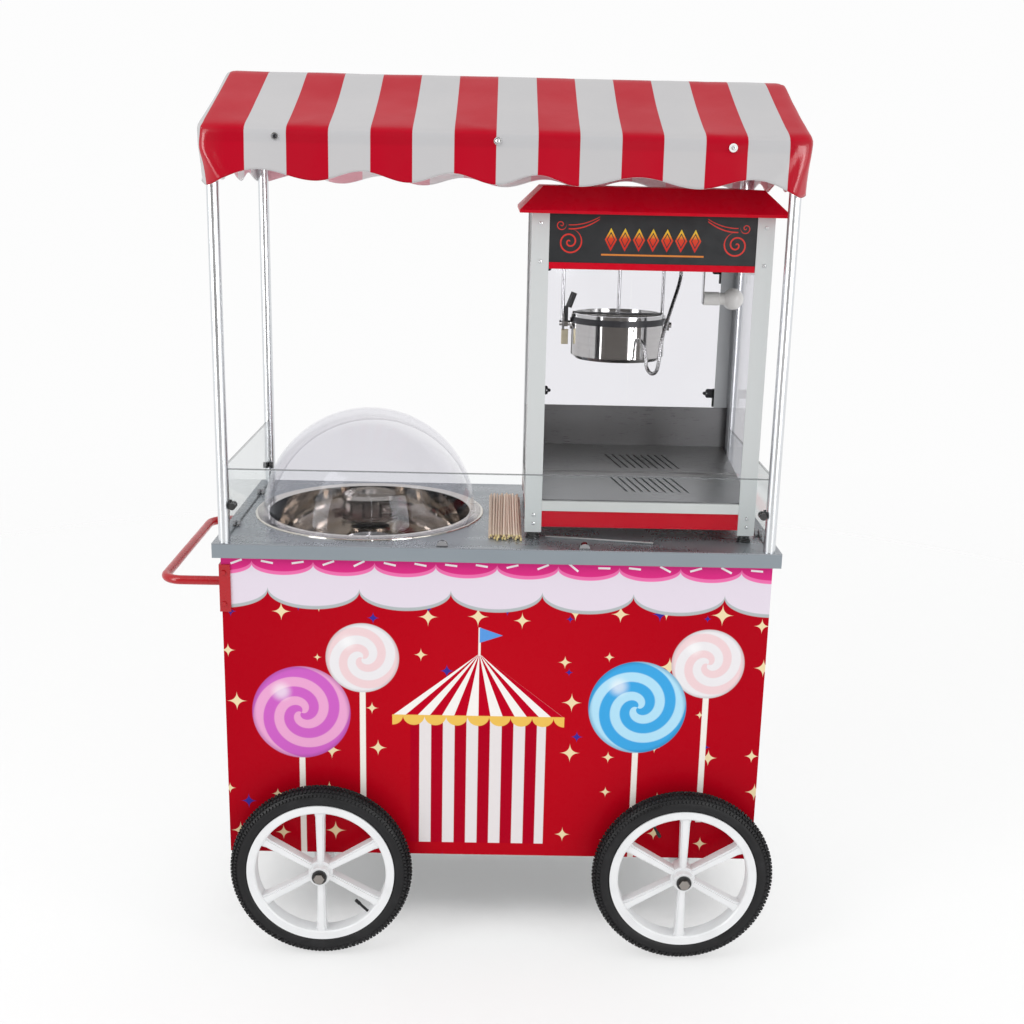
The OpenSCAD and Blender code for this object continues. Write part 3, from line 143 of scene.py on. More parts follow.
def new_piece(name, vertices, faces, finish=None, smooth=False):
    """A mesh object with its place in its mesh."""
    mesh = bpy.data.meshes.new(name)
    mesh.from_pydata([tuple(v) for v in vertices], [], [tuple(f) for f in faces])
    mesh.update()
    piece = bpy.data.objects.new(name, mesh)
    scene.collection.objects.link(piece)
    if smooth:
        mesh.polygons.foreach_set("use_smooth", [True] * len(mesh.polygons))
    if finish is not None:
        mesh.materials.append(finish)
    return piece


floor_corners = [(x, y, -0.0005) for x, y in ((-9, -9), (9, -9), (9, 9), (-9, 9))]
floor = new_piece("floor", floor_corners, [(0, 1, 2, 3)])
cloth_corners = [(-8, -5.6, 0.02), (-8, -5.6, 4.6), (8, -5.6, 4.6), (8, -5.6, 0.02)]
dark_cloth = new_piece("dark_cloth", cloth_corners, [(0, 1, 2, 3)])
dark_cloth.visible_camera = False
dark_cloth.visible_diffuse = False
print("stage", floor.name, dark_cloth.name)

# %% [markdown]
# Finishes are sums on positions. One small class wraps a socket so that sums can be written the way they
# are on paper. Each operator adds a Math node, and a plain number may stand on either side.

# %% Sums on sockets


def operator(operation, turned=False):
    """A method that adds one Math node."""
    def method(self, other):
        return self.paint.sum(operation, *((other, self) if turned else (self, other)))
    return method


class Val:
    """One output socket that can be added, scaled and compared."""
    __add__ = __radd__ = operator("ADD")
    __sub__ = operator("SUBTRACT")
    __rsub__ = operator("SUBTRACT", True)
    __mul__ = __rmul__ = operator("MULTIPLY")
    __truediv__ = operator("DIVIDE")
    __rtruediv__ = operator("DIVIDE", True)
    __lt__ = operator("LESS_THAN")
    __gt__ = operator("GREATER_THAN")

    def __init__(self, paint, socket):
        self.paint = paint
        self.socket = socket

    def __abs__(self):
        return self.paint.sum("ABSOLUTE", self)


print("sums ready on", Val.__name__)

# %% [markdown]
# A finish is one material with its main shader. One method makes any node, settings first and sockets
# after, and the others are the few that come up again and again: noise, soft steps and limits, mixes and
# bumps.

# %% One class for every finish


class Paint:
    """A material with its Principled shader and the positions of the surface."""

    def __init__(self, name, color, rough, metal=0.0, **sockets):
        self.mat = bpy.data.materials.new(name)
        self.mat.use_nodes = True
        self.mat.diffuse_color = (*color, 1)
        self.tree = self.mat.node_tree
        self.shader = self.tree.nodes["Principled BSDF"]
        self.out = self.tree.nodes["Material Output"]
        self.place = self.node("ShaderNodeTexCoord", {}, {}, "Object")
        self._axes = None
        self.set(Base_Color=color, Roughness=rough, Metallic=metal, **sockets)

    def node(self, kind, settings, sockets, output=0):
        made = self.tree.nodes.new(kind)
        for key, value in settings.items():
            if key == "stops":
                while len(made.color_ramp.elements) < len(value):
                    made.color_ramp.elements.new(0.5)
                for stop, (at, color) in zip(made.color_ramp.elements, value):
                    stop.position = at
                    stop.color = (*color, 1)
            else:
                setattr(made, key, value)
        for key, value in sockets.items():
            self.feed(made.inputs[key], value)
        return Val(self, made.outputs[output])

    def feed(self, socket, value):
        if isinstance(value, Val):
            self.tree.links.new(value.socket, socket)
        elif isinstance(value, tuple) and len(value) == 3 and len(socket.default_value) == 4:
            socket.default_value = (*value, 1)
        else:
            socket.default_value = value

    def sum(self, operation, *values):
        return self.node("ShaderNodeMath", {"operation": operation}, dict(enumerate(values)))

    def axes(self):
        if self._axes is None:
            split = self.node("ShaderNodeSeparateXYZ", {}, {0: self.place}).socket.node
            self._axes = [Val(self, socket) for socket in split.outputs]
        return self._axes

    def length(self, a, b):
        return self.sum("SQRT", a * a + b * b)

    def from_axis(self, centre):
        """Distance from an upright axis."""
        x, y = self.axes()[:2]
        return self.length(x - centre[0], y - centre[1])

    def kept(self, key):
        """A value kept with each point of the mesh."""
        return self.node("ShaderNodeAttribute", {"attribute_name": key}, {}, 2)

    def now(self, key):
        """What feeds a socket of the shader at this moment."""
        return Val(self, self.shader.inputs[key].links[0].from_socket)

    def vector(self, x, y, z):
        return self.node("ShaderNodeCombineXYZ", {}, {0: x, 1: y, 2: z})

    def noise(self, scale, detail=3.0, at=None):
        return self.node("ShaderNodeTexNoise", {}, {
            "Vector": at or self.place, "Scale": scale, "Detail": detail})

    def ease(self, value, low, high, to_low=0.0, to_high=1.0):
        return self.node("ShaderNodeMapRange", {"interpolation_type": "SMOOTHSTEP"}, {
            "Value": value, "From Min": low, "From Max": high, "To Min": to_low, "To Max": to_high})

    def within(self, value, low, high, soft):
        """One between two limits and zero outside, with soft ends."""
        return self.ease(value, low - soft, low + soft) * self.ease(value, high + soft, high - soft)

    def spread(self, noise, low, high):
        """The common part of a noise, laid out over a range."""
        return self.ease(noise, 0.3, 0.7, low, high)

    def mix(self, share, first, second):
        return self.node("ShaderNodeMix", {"data_type": "RGBA"}, {0: share, 6: first, 7: second}, 2)

    def bump(self, height, strength, distance):
        self.set(Normal=self.node("ShaderNodeBump", {}, {
            "Strength": strength, "Distance": distance, "Height": height}))

    def set(self, **sockets):
        for key, value in sockets.items():
            self.feed(self.shader.inputs[key.replace("_", " ")], value)


def dress(paint, *names):
    """Give a finish to solids of the frame."""
    for name in names:
        nodes[name].data.materials.clear()
        nodes[name].data.materials.append(paint.mat)


print("solids to dress", len(nodes))

# %% [markdown]
# The floor is a pale matt sheet. It is thin away from the cart and fades out towards its rim, which keeps
# the shadow close to the cart and leaves no line between floor and surround.

# %% Floor and cloth finish
FOOTPRINT = (0.50, 0.08)
floor_paint = Paint("floor_paint", (0.94, 0.94, 0.94), 0.9)
cloth_paint = Paint("dark_cloth_paint", (0.20, 0.185, 0.17), 0.9)
for paint, grain, piece in ((floor_paint, 40, floor), (cloth_paint, 30, dark_cloth)):
    paint.set(Roughness=paint.spread(paint.noise(grain), 0.85, 0.95))
    piece.data.materials.append(paint.mat)
p = floor_paint
x, y = p.axes()[:2]
past_x = p.sum("MAXIMUM", abs(x - MID) - FOOTPRINT[0], 0.0)
past_y = p.sum("MAXIMUM", abs(y) - FOOTPRINT[1], 0.0)
near_cart = p.ease(p.length(past_x, past_y), 0.0, 0.20, 1.0, 0.4)
near_rim = p.ease(p.from_axis((0.0, 0.0)), 2.4, 6.0, 1.0, 0.0)
p.set(Alpha=near_cart * near_rim)
print("stage", floor_paint.mat.name, cloth_paint.mat.name)

# %% [markdown]
# Powder coat is never mirror flat: it has a fine orange peel and gathers a little grime low down. The
# white cabinet, the red handle, tray and roof and the black header share the recipe with other colours. The
# popcorn cabinet's frame has a brighter rail at its foot, told apart by its place.

# %% Powder coats


def powder_coat(name, color, dirt, rough=0.35, peel=0.12, shine=0.5):
    paint = Paint(name, color, rough, Specular_IOR_Level=shine, Coat_Roughness=0.15)
    cloud = paint.noise(7, 4)
    grime = paint.ease(paint.axes()[2] + cloud * 0.3, 0.15, 0.75, 0.35, 0.0) * paint.noise(26, 5)
    paint.set(Base_Color=paint.mix(grime, color, dirt),
              Roughness=paint.spread(paint.noise(55, 2), rough - 0.06, rough + 0.08),
              Coat_Weight=paint.spread(cloud, 0.1 * shine, 0.5 * shine))
    paint.bump(paint.noise(900, 1), peel, 0.0004)
    return paint


WHITE = (0.80, 0.81, 0.82)
# Painted light: RED is set lighter than the handle's red to offset the canopy's shade on the popcorn roof.
RED = (0.55, 0.001, 0.014)
white_coat = powder_coat("white_coat", WHITE, (0.62, 0.61, 0.58))
red_coat = powder_coat("red_coat", RED, (0.36, 0.001, 0.008), 0.3, 0.12, 0.07)
handle_coat = powder_coat("handle_coat", (0.42, 0.004, 0.010), (0.30, 0.003, 0.008), 0.24, 0.08, 0.4)
black_coat = powder_coat("black_coat", (0.022, 0.022, 0.024), (0.05, 0.05, 0.05), 0.4)
popper_coat = powder_coat("popper_coat", (0.57, 0.59, 0.59), (0.50, 0.52, 0.52), 0.36, 0.08, 0.25)
dress(white_coat, "cabinet_frame", "end_panels", "back_panel")
dress(red_coat, "popper_base", "popper_roof")
dress(handle_coat, "push_handle")
dress(black_coat, "popper_header", "candy_motor", "popper_hinges")
RAIL_HALF, RAIL_LOW, RAIL_HIGH = (0.2139, 0.1719), 1.0125, 1.0355
p = popper_coat
x, y, z = p.axes()
between_posts = p.sum("MAXIMUM", abs(x - POP[0]) < RAIL_HALF[0], abs(y - POP[1]) < RAIL_HALF[1])
rail = between_posts * (z > RAIL_LOW) * (z < RAIL_HIGH)
p.set(Base_Color=p.mix(rail, p.now("Base Color"), (0.62, 0.63, 0.62)), Metallic=rail * 0.3)
dress(popper_coat, "popper_frame")
print("coats", white_coat.mat.name, red_coat.mat.name, black_coat.mat.name, popper_coat.mat.name)

# %% [markdown]
# Bare metal is told apart by its lines. Drawn tube has long streaks, rolled sheet has fine grain one way,
# and a spun bowl has rings. Each is noise stretched along the working direction, on roughness and colour.

# %% Bare metals


def worked_metal(name, color, rough, stretch, scale, spread=0.12, shade=0.16, height=0.12):
    paint = Paint(name, color, rough, 1.0)
    x, y, z = paint.axes()
    lines = paint.noise(scale, 4, paint.vector(x * stretch[0], y * stretch[1], z * stretch[2]))
    blotch = paint.noise(6, 3)
    dark = tuple(c * (1 - 2 * shade) for c in color)
    paint.set(Base_Color=paint.mix(lines * 0.5 + blotch * 0.5, dark, color),
              Roughness=paint.ease(lines + blotch * 0.4, 0.4, 0.95, rough - spread / 2, rough + spread))
    paint.bump(lines, height, 0.0003)
    return paint


FINE_SHEET = ((1, 30, 30), 30, 0.1, 0.08, 0.02)
tube_metal = worked_metal("tube_metal", (0.76, 0.78, 0.80), 0.27, (40, 40, 1), 8, 0.06, 0.08, 0.03)
sheet_metal = worked_metal("sheet_metal", (0.62, 0.63, 0.63), 0.32, (1, 40, 40), 10)
chrome = worked_metal("chrome", (0.50, 0.50, 0.51), 0.14, (8, 8, 8), 30, 0.06, 0.05, 0.03)
dress(tube_metal, "canopy_posts", "post_stubs")
dress(sheet_metal, "axles", "floor_panel", "motor_bracket", "cabinet_hinges", "stir_motor", "crumb_drawer")
dress(chrome, "kettle_hanger", "stirrer", "drive_dog")
dress(worked_metal("frame_metal", (0.82, 0.84, 0.86), 0.3, (1, 1, 20), 8), "canopy_frame")
# The deck and the kick panel are one dark sheet: the deck gets a lighter colour as painted light and the
# kick panel a darker one as painted shade.
dress(worked_metal("deck_sheet_lit", (0.345, 0.345, 0.34), 0.3, *FINE_SHEET), "popper_deck")
dress(worked_metal("kick_sheet_shaded", (0.20, 0.20, 0.20), 0.3, *FINE_SHEET), "kick_panel")
print("finishes so far", len(bpy.data.materials))

# %% [markdown]
# The bowl and the kettle are polished on a lathe, so their marks run round the axis. The marks come from
# the height and the distance to the axis, not from the angle, which would leave a seam where it starts
# again, and they are kept faint. The kettle's lever grip and heat band are black plastic, parted from the
# steel by their place.

# %% Spun steel


def spun_steel(name, centre, color, rough):
    paint = Paint(name, color, rough, 1.0)
    rings = paint.noise(30, 2, paint.vector(paint.from_axis(centre) * 6, paint.axes()[2] * 6, 0.0))
    smear = paint.noise(9, 4)
    dark = tuple(c * 0.72 for c in color)
    paint.set(Base_Color=paint.mix(rings * 0.4 + smear * 0.6, dark, color),
              Roughness=paint.ease(rings * 0.5 + smear * 0.5, 0.35, 0.7, rough * 0.7, rough * 1.4))
    return paint


dress(spun_steel("bowl_steel", BOWL, (0.74, 0.69, 0.63), 0.05), "candy_bowl")
dress(spun_steel("head_metal", BOWL, (0.78, 0.79, 0.80), 0.24), "spinner_head")
dress(spun_steel("lid_steel", KETTLE, (0.66, 0.66, 0.65), 0.14), "lid_front", "lid_back")
kettle_steel = spun_steel("kettle_steel", KETTLE, (0.62, 0.61, 0.59), 0.09)
LEVER_X, KNOB_Z = KETTLE[0] - 0.112, 1.4215
BAND_R, BAND_Z = (0.1035, 0.1075), (1.4005, 1.4145)
p = kettle_steel
x, y, z = p.axes()
reach = p.from_axis(KETTLE)
lever = p.ease(x, LEVER_X - 0.0005, LEVER_X + 0.0005, 1.0, 0.0) * (z > PIVOT_Z + 0.004)
band = (reach > BAND_R[0]) * (reach < BAND_R[1]) * (z > BAND_Z[0]) * (z < BAND_Z[1])
grip = p.sum("MAXIMUM", p.sum("MAXIMUM", lever, band), z > KNOB_Z)
p.set(Base_Color=p.mix(grip, p.now("Base Color"), (0.02, 0.02, 0.024)),
      Roughness=p.now("Roughness") * (1 - grip) + grip * 0.4,
      Metallic=1 - grip)
dress(kettle_steel, "kettle")
print("finishes so far", len(bpy.data.materials))

# %% [markdown]
# The worktop still wears its blue-grey protective film. Film on steel is less sharp than bare steel, has
# long flat bubbles, and is plainer and bluer on the folded edge. It could be a second sheet laid over the
# steel, but it lies so tight that noise in one finish gives the same look.

# %% Filmed worktop
film = Paint("worktop_film", (0.17, 0.20, 0.23), 0.3, 0.55)
p = film
x, y, z = p.axes()
bubbles = p.noise(9, 3, p.vector(x, y * 2.2, z))
edge = p.ease(z, TOP_Z - 0.004, TOP_Z - 0.001, 1.0, 0.0)
scuffs = p.noise(70, 2, p.vector(x * 6, y, z)) * (1 - edge)
color = p.mix(bubbles * 0.8, (0.205, 0.222, 0.245), (0.36, 0.383, 0.41))
color = p.mix(edge * 0.75, color, (0.235, 0.275, 0.305))
p.set(Base_Color=p.mix(p.ease(scuffs, 0.62, 0.75) * 0.3, color, (0.5, 0.53, 0.55)),
      Roughness=p.ease(bubbles + scuffs * 0.5, 0.5, 1.0, 0.2, 0.4),
      Metallic=p.ease(edge, 0.0, 1.0, 0.55, 0.2))
p.bump(bubbles, 0.15, 0.002)
dress(film, "worktop")
print("film", film.mat.name)

# %% [markdown]
# Clear sheet is nearly nothing face on and a mirror at a glancing angle. The share of mirror grows with the
# fifth power of the slant, which holds for both faces of a sheet; a Fresnel node would turn the inner face
# into a full mirror.

# %% Clear acrylic and glass


def clear_finish(name, tint, mirror, edges=None, edge_color=(0.15, 0.16, 0.165), edge_share=0.6, deep=None):
    paint = Paint(name, mirror, 0.04, 1.0)
    paint.mat.diffuse_color = (0.86, 0.90, 0.91, 0.2)
    see = paint.node("ShaderNodeBsdfTransparent", {}, {"Color": tint})
    if deep is not None:
        thick = paint.node("ShaderNodeBsdfTransparent", {}, {"Color": deep[0]})
        see = paint.node("ShaderNodeMixShader", {}, {0: deep[1](paint), 1: see, 2: thick})
    slant = paint.node("ShaderNodeLayerWeight", {}, {"Blend": 0.5}, 1)
    smudge = paint.noise(5, 4)
    share = paint.sum("POWER", slant, 5.0) * 0.6 + paint.ease(smudge, 0.5, 0.8, 0.0, 0.02) + 0.012
    if edges is not None:
        line = edges(paint)
        share = paint.sum("MAXIMUM", share, line * edge_share)
        paint.set(Base_Color=paint.mix(line, mirror, edge_color), Metallic=1 - line)
    share = paint.sum("MINIMUM", share, 1.0)
    mirror_side = Val(paint, paint.shader.outputs[0])
    blend = paint.node("ShaderNodeMixShader", {}, {0: share, 1: see, 2: mirror_side})
    paint.tree.links.new(blend.socket, paint.out.inputs["Surface"])
    paint.set(Roughness=paint.ease(smudge, 0.3, 0.8, 0.02, 0.08))
    return paint


print("clear finish ready")

# %% [markdown]
# Cut edges scatter light and show as thin lines, so a mask on position marks them. The dome's low front gets
# a deeper tint, a painted shade that darkens what is seen through it there. The fittings on the popcorn
# doors stand out behind the panes and are black.

# %% Clear solids


def guard_edges(paint):
    x, y, z = paint.axes()
    top = paint.ease(z, 1.1045, 1.1062)
    foot = paint.ease(z, 0.9515, 0.9500) * (abs(x - MID) > 0.57)
    return paint.sum("MAXIMUM", top, foot)


def dome_edges(paint):
    y, z = paint.axes()[1:]
    rim = paint.ease(paint.from_axis(BOWL), 0.2475, 0.2495) * paint.ease(z, 0.9565, 0.9545)
    lean = math.radians(27)
    out = (y - BOWL[1] - 0.060) * math.cos(lean) - (z - 0.965) * math.sin(lean)
    cut = paint.ease(abs(out + 0.0005), 0.0032, 0.0018) * (z > 0.9575)
    return paint.sum("MAXIMUM", rim * 0.7, cut)


# Painted shade: the low front of the dome gets a deeper tint.
def dome_front_shade(paint):
    return paint.ease(paint.axes()[1], BOWL[1] - 0.02, BOWL[1] - 0.12)


def door_fittings(paint):
    return paint.ease(paint.axes()[1], 0.1960, 0.1963)


GREY_MIRROR = (0.42, 0.44, 0.46)
SMOKE = (0.968, 0.966, 0.976)
FRONT_SHADE_SMOKE = (0.85, 0.845, 0.87)
guard_clear = clear_finish("guard_clear", (0.985, 0.992, 0.992), GREY_MIRROR, guard_edges)
dome_clear = clear_finish("dome_clear", (0.965, 0.963, 0.97), (0.80, 0.80, 0.84), dome_edges,
                          (0.62, 0.63, 0.66), 0.2, (FRONT_SHADE_SMOKE, dome_front_shade))
pane_clear = clear_finish("pane_clear", SMOKE, GREY_MIRROR)
door_clear = clear_finish("door_clear", SMOKE, GREY_MIRROR, door_fittings, (0.02, 0.02, 0.022), 1.0)
dress(guard_clear, "guard_sheets")
dress(dome_clear, "candy_dome")
dress(pane_clear, "popper_panes")
dress(door_clear, "popper_door_left", "popper_door_right")
print("finishes so far", len(bpy.data.materials))

# %% [markdown]
# Moulded plastic: white wheel rims with a faint sink pattern, black caps and knobs with fine spark
# texture, red rockers with a gloss. Where one solid holds plastic and metal, its place along one axis parts
# them.

# %% Plastics and mixed solids


def moulded(name, color, rough, grain=500, height=0.1, metal=0.0):
    paint = Paint(name, color, rough, metal)
    spots = paint.ease(paint.noise(14, 4), 0.35, 0.75) * 0.35
    paint.set(Base_Color=paint.mix(spots, color, tuple(c * 0.8 for c in color)),
              Roughness=paint.spread(paint.noise(60, 3), rough - 0.06, rough + 0.08))
    paint.bump(paint.noise(grain, 2), height, 0.0003)
    return paint


def two_finishes(name, base, metal, metal_rough, split):
    """A moulded finish that turns into metal along an axis, from one place to another."""
    paint = moulded(name, *base)
    axis, start, stop = split
    share = paint.ease(abs(paint.axes()[axis]), start, stop)
    paint.set(Base_Color=paint.mix(share, paint.now("Base Color"), metal),
              Roughness=paint.now("Roughness") * (1 - share) + share * metal_rough,
              Metallic=share)
    return paint


BLACK_BASE = ((0.020, 0.020, 0.021), 0.38)
WHEELS = ("front_left", "front_right", "rear_left", "rear_right")
SWITCHES = ("motor_switch", "heat_switch", "kettle_switch", "stir_switch", "lamp_switch")
dress(moulded("rim_white", WHITE, 0.38, 260, 0.08), *["rim_" + name for name in WHEELS])
dress(moulded("black_mould", *BLACK_BASE), "control_box", "heat_knob")
dress(moulded("rocker_red", (0.50, 0.008, 0.008), 0.22), *SWITCHES)
MIXED = [
    ("nut_finish", BLACK_BASE, (0.30, 0.28, 0.26), 0.3, (1, 0.3670, 0.3674), "axle_nuts"),
    ("clip_finish", BLACK_BASE, (0.30, 0.30, 0.31), 0.16, (2, 0.972, 0.966), "guard_fittings"),
    ("foot_finish", BLACK_BASE, (0.75, 0.76, 0.77), 0.2, (2, 0.9645, 0.9652), "popper_feet"),
    ("door_finish", (WHITE, 0.35), (0.70, 0.71, 0.72), 0.22, (1, 0.2832, 0.2835),
     "cabinet_door_left", "cabinet_door_right"),
    ("lamp_finish", ((0.86, 0.85, 0.80), 0.3), (0.70, 0.71, 0.72), 0.25, (0, 0.5026, 0.5022), "heat_lamp"),
]
for name, base, metal, metal_rough, split, *solids in MIXED:
    dress(two_finishes(name, base, metal, metal_rough, split), *solids)
print("finishes so far", len(bpy.data.materials))

# %% [markdown]
# The front sheet carries a print. Every shape of it is a distance to a simple outline, and a soft step
# turns the distance into ink. A print made so stays sharp at any size and needs no picture file. These are
# the shapes it is built from: discs, boxes, rows of half rounds, bars and four-pointed stars.

# %% Ink shapes


def ink_disc(p, x, z, centre, radius, soft=0.0012):
    """Share of ink inside a disc, with the distance and the angle from its middle."""
    dx, dz = x - centre[0], z - centre[1]
    reach = p.length(dx, dz)
    return p.ease(reach, radius + soft, radius - soft), reach, p.sum("ARCTAN2", dz, dx)


def ink_box(p, x, z, low, high, soft=0.0008):
    return p.within(x, low[0], high[0], soft) * p.within(z, low[1], high[1], soft)


def ink_above(p, height):
    return p.ease(height, -0.001, 0.001)


def lobes(p, x, width, phase):
    """Height from 0 to 1 of a row of half rounds."""
    u = p.sum("FRACT", x / width + phase) * 2 - 1
    return p.sum("SQRT", 1.0001 - u * u)


def bars(p, x):
    """Bars as wide as the gaps between them, one bar to a unit of x."""
    return p.ease(abs(p.sum("FRACT", x + 0.25) - 0.5), 0.235, 0.265)


def luck(p, a, b, seed=0.0, kind="3D"):
    """One random number for each pair of whole numbers."""
    return p.node("ShaderNodeTexWhiteNoise", {"noise_dimensions": kind}, {"Vector": p.vector(a, b, seed)})


def sparkle(p, x, z, cell, seed, size):
    """Four-pointed stars scattered one to a cell."""
    cell_x, cell_z = p.sum("FLOOR", x / cell), p.sum("FLOOR", z / cell)
    aside, aloft = luck(p, cell_x, cell_z, seed), luck(p, cell_z, cell_x, seed + 3.7)
    u = (p.sum("FRACT", x / cell) - 0.3 - aside * 0.4) * cell
    v = (p.sum("FRACT", z / cell) - 0.3 - aloft * 0.4) * cell
    arms = p.sum("SQRT", abs(u)) + p.sum("SQRT", abs(v))
    reach = p.sum("SQRT", (0.35 + aside * 0.65) * size)
    return p.ease(arms - reach, 0.004, -0.006) * (aloft > 0.3)


print("ink shapes ready")

# %% [markdown]
# The motifs are a swirled lollipop, whose bands wind round because the angle is taken from the distance,
# and a striped fair tent, whose roof stripes fan out because the width is divided by the height under the
# tip.

# %% Motifs of the print
PAPER_WHITE = (0.84, 0.80, 0.74)


def lollipop(p, ink, x, z, centre, radius, first, second, turns):
    cx, cz = centre
    foot = cz - radius
    stick = ink_box(p, x, z, (cx - 0.0065, foot - 0.30), (cx + 0.0065, foot + 0.01))
    ink = p.mix(stick, ink, PAPER_WHITE)
    disc, reach, angle = ink_disc(p, x, z, centre, radius)
    swirl = p.sum("FRACT", reach / radius * turns - angle * (1 / math.pi))
    body = p.mix(p.ease(abs(swirl - 0.5), 0.22, 0.30), first, second)
    body = p.mix(p.ease(reach, radius * 0.90, radius) * 0.5, body, tuple(c * 0.5 for c in first))
    shine = ink_disc(p, x, z, (cx - radius * 0.4, cz + radius * 0.45), radius * 0.16, 0.012)[0]
    body = p.mix(shine * 0.6, body, (0.9, 0.9, 0.9))
    return p.mix(disc, ink, body)


def tent(p, ink, x, z):
    eave, tip, mast_top = 0.557, 0.705, 0.765
    wall = ink_box(p, x, z, (-0.150, 0.25), (0.150, eave + 0.003))
    wall_ink = p.mix(bars(p, x / 0.052), (0.42, 0.0, 0.012), (0.82, 0.80, 0.80))
    ink = p.mix(wall, ink, p.mix(0.12, wall_ink, (0.2, 0.0, 0.02)))
    fan = x / p.sum("MAXIMUM", (tip - z) * 1.28, 0.004)
    roof_ink = p.mix(bars(p, fan * 3.5), (0.48, 0.0, 0.014), (0.86, 0.83, 0.80))
    roof = p.within(z, eave - 0.001, tip - 0.003, 0.001)
    ink = p.mix(roof * p.ease(abs(fan), 1.006, 0.994), ink, roof_ink)
    fringe = ink_above(p, z - (eave - lobes(p, x, 0.0475, 0.5) * 0.022))
    fringe = fringe * p.ease(z, eave + 0.003, eave + 0.001) * p.ease(abs(x), 0.1905, 0.1895)
    ink = p.mix(fringe, ink, (0.80, 0.50, 0.10))
    mast = ink_box(p, x, z, (-0.0025, 0.70), (0.0025, mast_top))
    ink = p.mix(mast, ink, PAPER_WHITE)
    taper = abs(z - mast_top + 0.0175) - (0.05 - x) * 0.35
    pennant = ink_box(p, x, z, (0.0, mast_top - 0.035), (0.05, mast_top)) * p.ease(taper, 0.001, -0.001)
    return p.mix(pennant, ink, (0.10, 0.30, 0.70))


print("motifs ready")

# %% [markdown]
# Along the top runs an icing border: a white band and a pink one, each cut in half rounds with a line of
# shade. One sprinkle is drawn in each half of a pink lobe and turned by a random number for that cell, so
# that one drawing serves the whole row.

# %% Icing border


def icing(p, ink, x, z):
    pink_lobe, cell_z = 0.1313, 0.027
    over_white = z - (0.842 - lobes(p, x, 0.197, 0.5) * 0.042)
    white = p.mix(p.ease(over_white, 0.009, 0.006), (0.72, 0.65, 0.735), (0.42, 0.46, 0.47))
    ink = p.mix(ink_above(p, over_white), ink, white)
    over_pink = z - (0.900 - lobes(p, x, pink_lobe, 0.0) * 0.024)
    pink = p.mix(p.ease(over_pink, 0.009, 0.007), (0.66, 0.030, 0.215), (0.80, 0.16, 0.40))
    cell_x = pink_lobe / 2
    turn = (luck(p, p.sum("FLOOR", x / cell_x), p.sum("FLOOR", z / cell_z), kind="2D") - 0.5) * 1.5
    u = (p.sum("FRACT", x / cell_x) - 0.5) * cell_x
    v = (p.sum("FRACT", z / cell_z) - 0.5) * cell_z
    along = abs(u * p.sum("COSINE", turn) + v * p.sum("SINE", turn))
    across = abs(v * p.sum("COSINE", turn) - u * p.sum("SINE", turn))
    sprinkle = p.ease(along, 0.0135, 0.0125) * p.ease(across, 0.0026, 0.0018)
    pink = p.mix(sprinkle * p.ease(over_pink, 0.010, 0.012), pink, (0.86, 0.82, 0.84))
    return p.mix(ink_above(p, over_pink), ink, pink)


print("icing ready")

# %% [markdown]
# The print is laid down as on a press: red ground, stars, lollipops, tent, and the border last. The ink is
# on the outer face alone; the back of the sheet is plain white. A slow ripple keeps the gloss uneven.

# %% Front print
TENT_X = -0.035
PALE_CANDY = ((0.78, 0.76, 0.78), (0.80, 0.60, 0.62), 2.0)
LOLLIPOPS = [
    ((-0.290, 0.690), 0.080, *PALE_CANDY),
    ((-0.425, 0.560), 0.108, (0.58, 0.12, 0.52), (0.78, 0.36, 0.60), 2.3),
    ((0.465, 0.690), 0.080, *PALE_CANDY),
    ((0.315, 0.585), 0.108, (0.05, 0.36, 0.72), (0.42, 0.70, 0.86), 2.3),
]
front_print = Paint("front_print", (0.58, 0.004, 0.012), 0.28, Specular_IOR_Level=0.03, Coat_Roughness=0.08)
p = front_print
gx, gy, z = p.axes()
x = gx - MID
glow = ink_disc(p, x, z, (0.0, 0.58), 0.35, 0.35)[0]
ink = p.mix(glow, (0.40, 0.001, 0.009), (0.47, 0.002, 0.010))
ink = p.mix(sparkle(p, x, z, 0.105, 1.0, 0.028), ink, (0.80, 0.66, 0.40))
ink = p.mix(sparkle(p, x + 0.05, z + 0.04, 0.150, 5.0, 0.020), ink, (0.05, 0.03, 0.28))
for candy in LOLLIPOPS:
    ink = lollipop(p, ink, x, z, *candy)
ink = tent(p, ink, x - TENT_X, z)
ink = icing(p, ink, x, z)
outer_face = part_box("front_panel")[0][1]
ink = p.mix(p.ease(gy, outer_face + 0.0004, outer_face + 0.0008), ink, WHITE)
ripple = p.noise(5, 3)
p.set(Base_Color=ink, Roughness=p.spread(p.noise(40, 3), 0.24, 0.36),
      Coat_Weight=p.spread(ripple, 0.0, 0.02))
p.bump(ripple * 0.9 + p.noise(300, 2) * 0.1, 0.12, 0.003)
dress(front_print, "front_panel")
print("front print nodes", len(p.tree.nodes))

# %% [markdown]
# Some pieces are thin sheet that no solid stands for. A plate is a box with its edges broken, so that light
# catches its rim. Each added piece carries its finish, and most ride on a body.

# %% Plates


def plate(name, low, high, finish, bevel=0.0004):
    """A box of sheet with its edges broken."""
    made = bmesh.new()
    bmesh.ops.create_cube(made, size=1)
    size, centre = Vector(high) - Vector(low), (Vector(high) + Vector(low)) / 2
    for vert in made.verts:
        vert.co = vert.co * size + centre
    bmesh.ops.bevel(made, geom=made.edges[:], offset=bevel, segments=2, affect="EDGES", profile=0.5)
    piece = new_piece(name, [], [], finish.mat)
    made.to_mesh(piece.data)
    made.free()
    return piece


def settle(piece, body, slot, *replaced):
    """Hand a piece to its body and let it stand for solids; the slot is not used."""
    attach(piece, body)
    if replaced:
        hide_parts(*replaced)


print("plates ready")

# %% [markdown]
# The sign on the popcorn cabinet is a thin black plate with red scrolls at its ends and a row of plain
# lozenges between them, over a folded red strip. It is drawn with the ink shapes of the front. The distance
# from the middle mirrors the scrolls, so only one half is drawn.

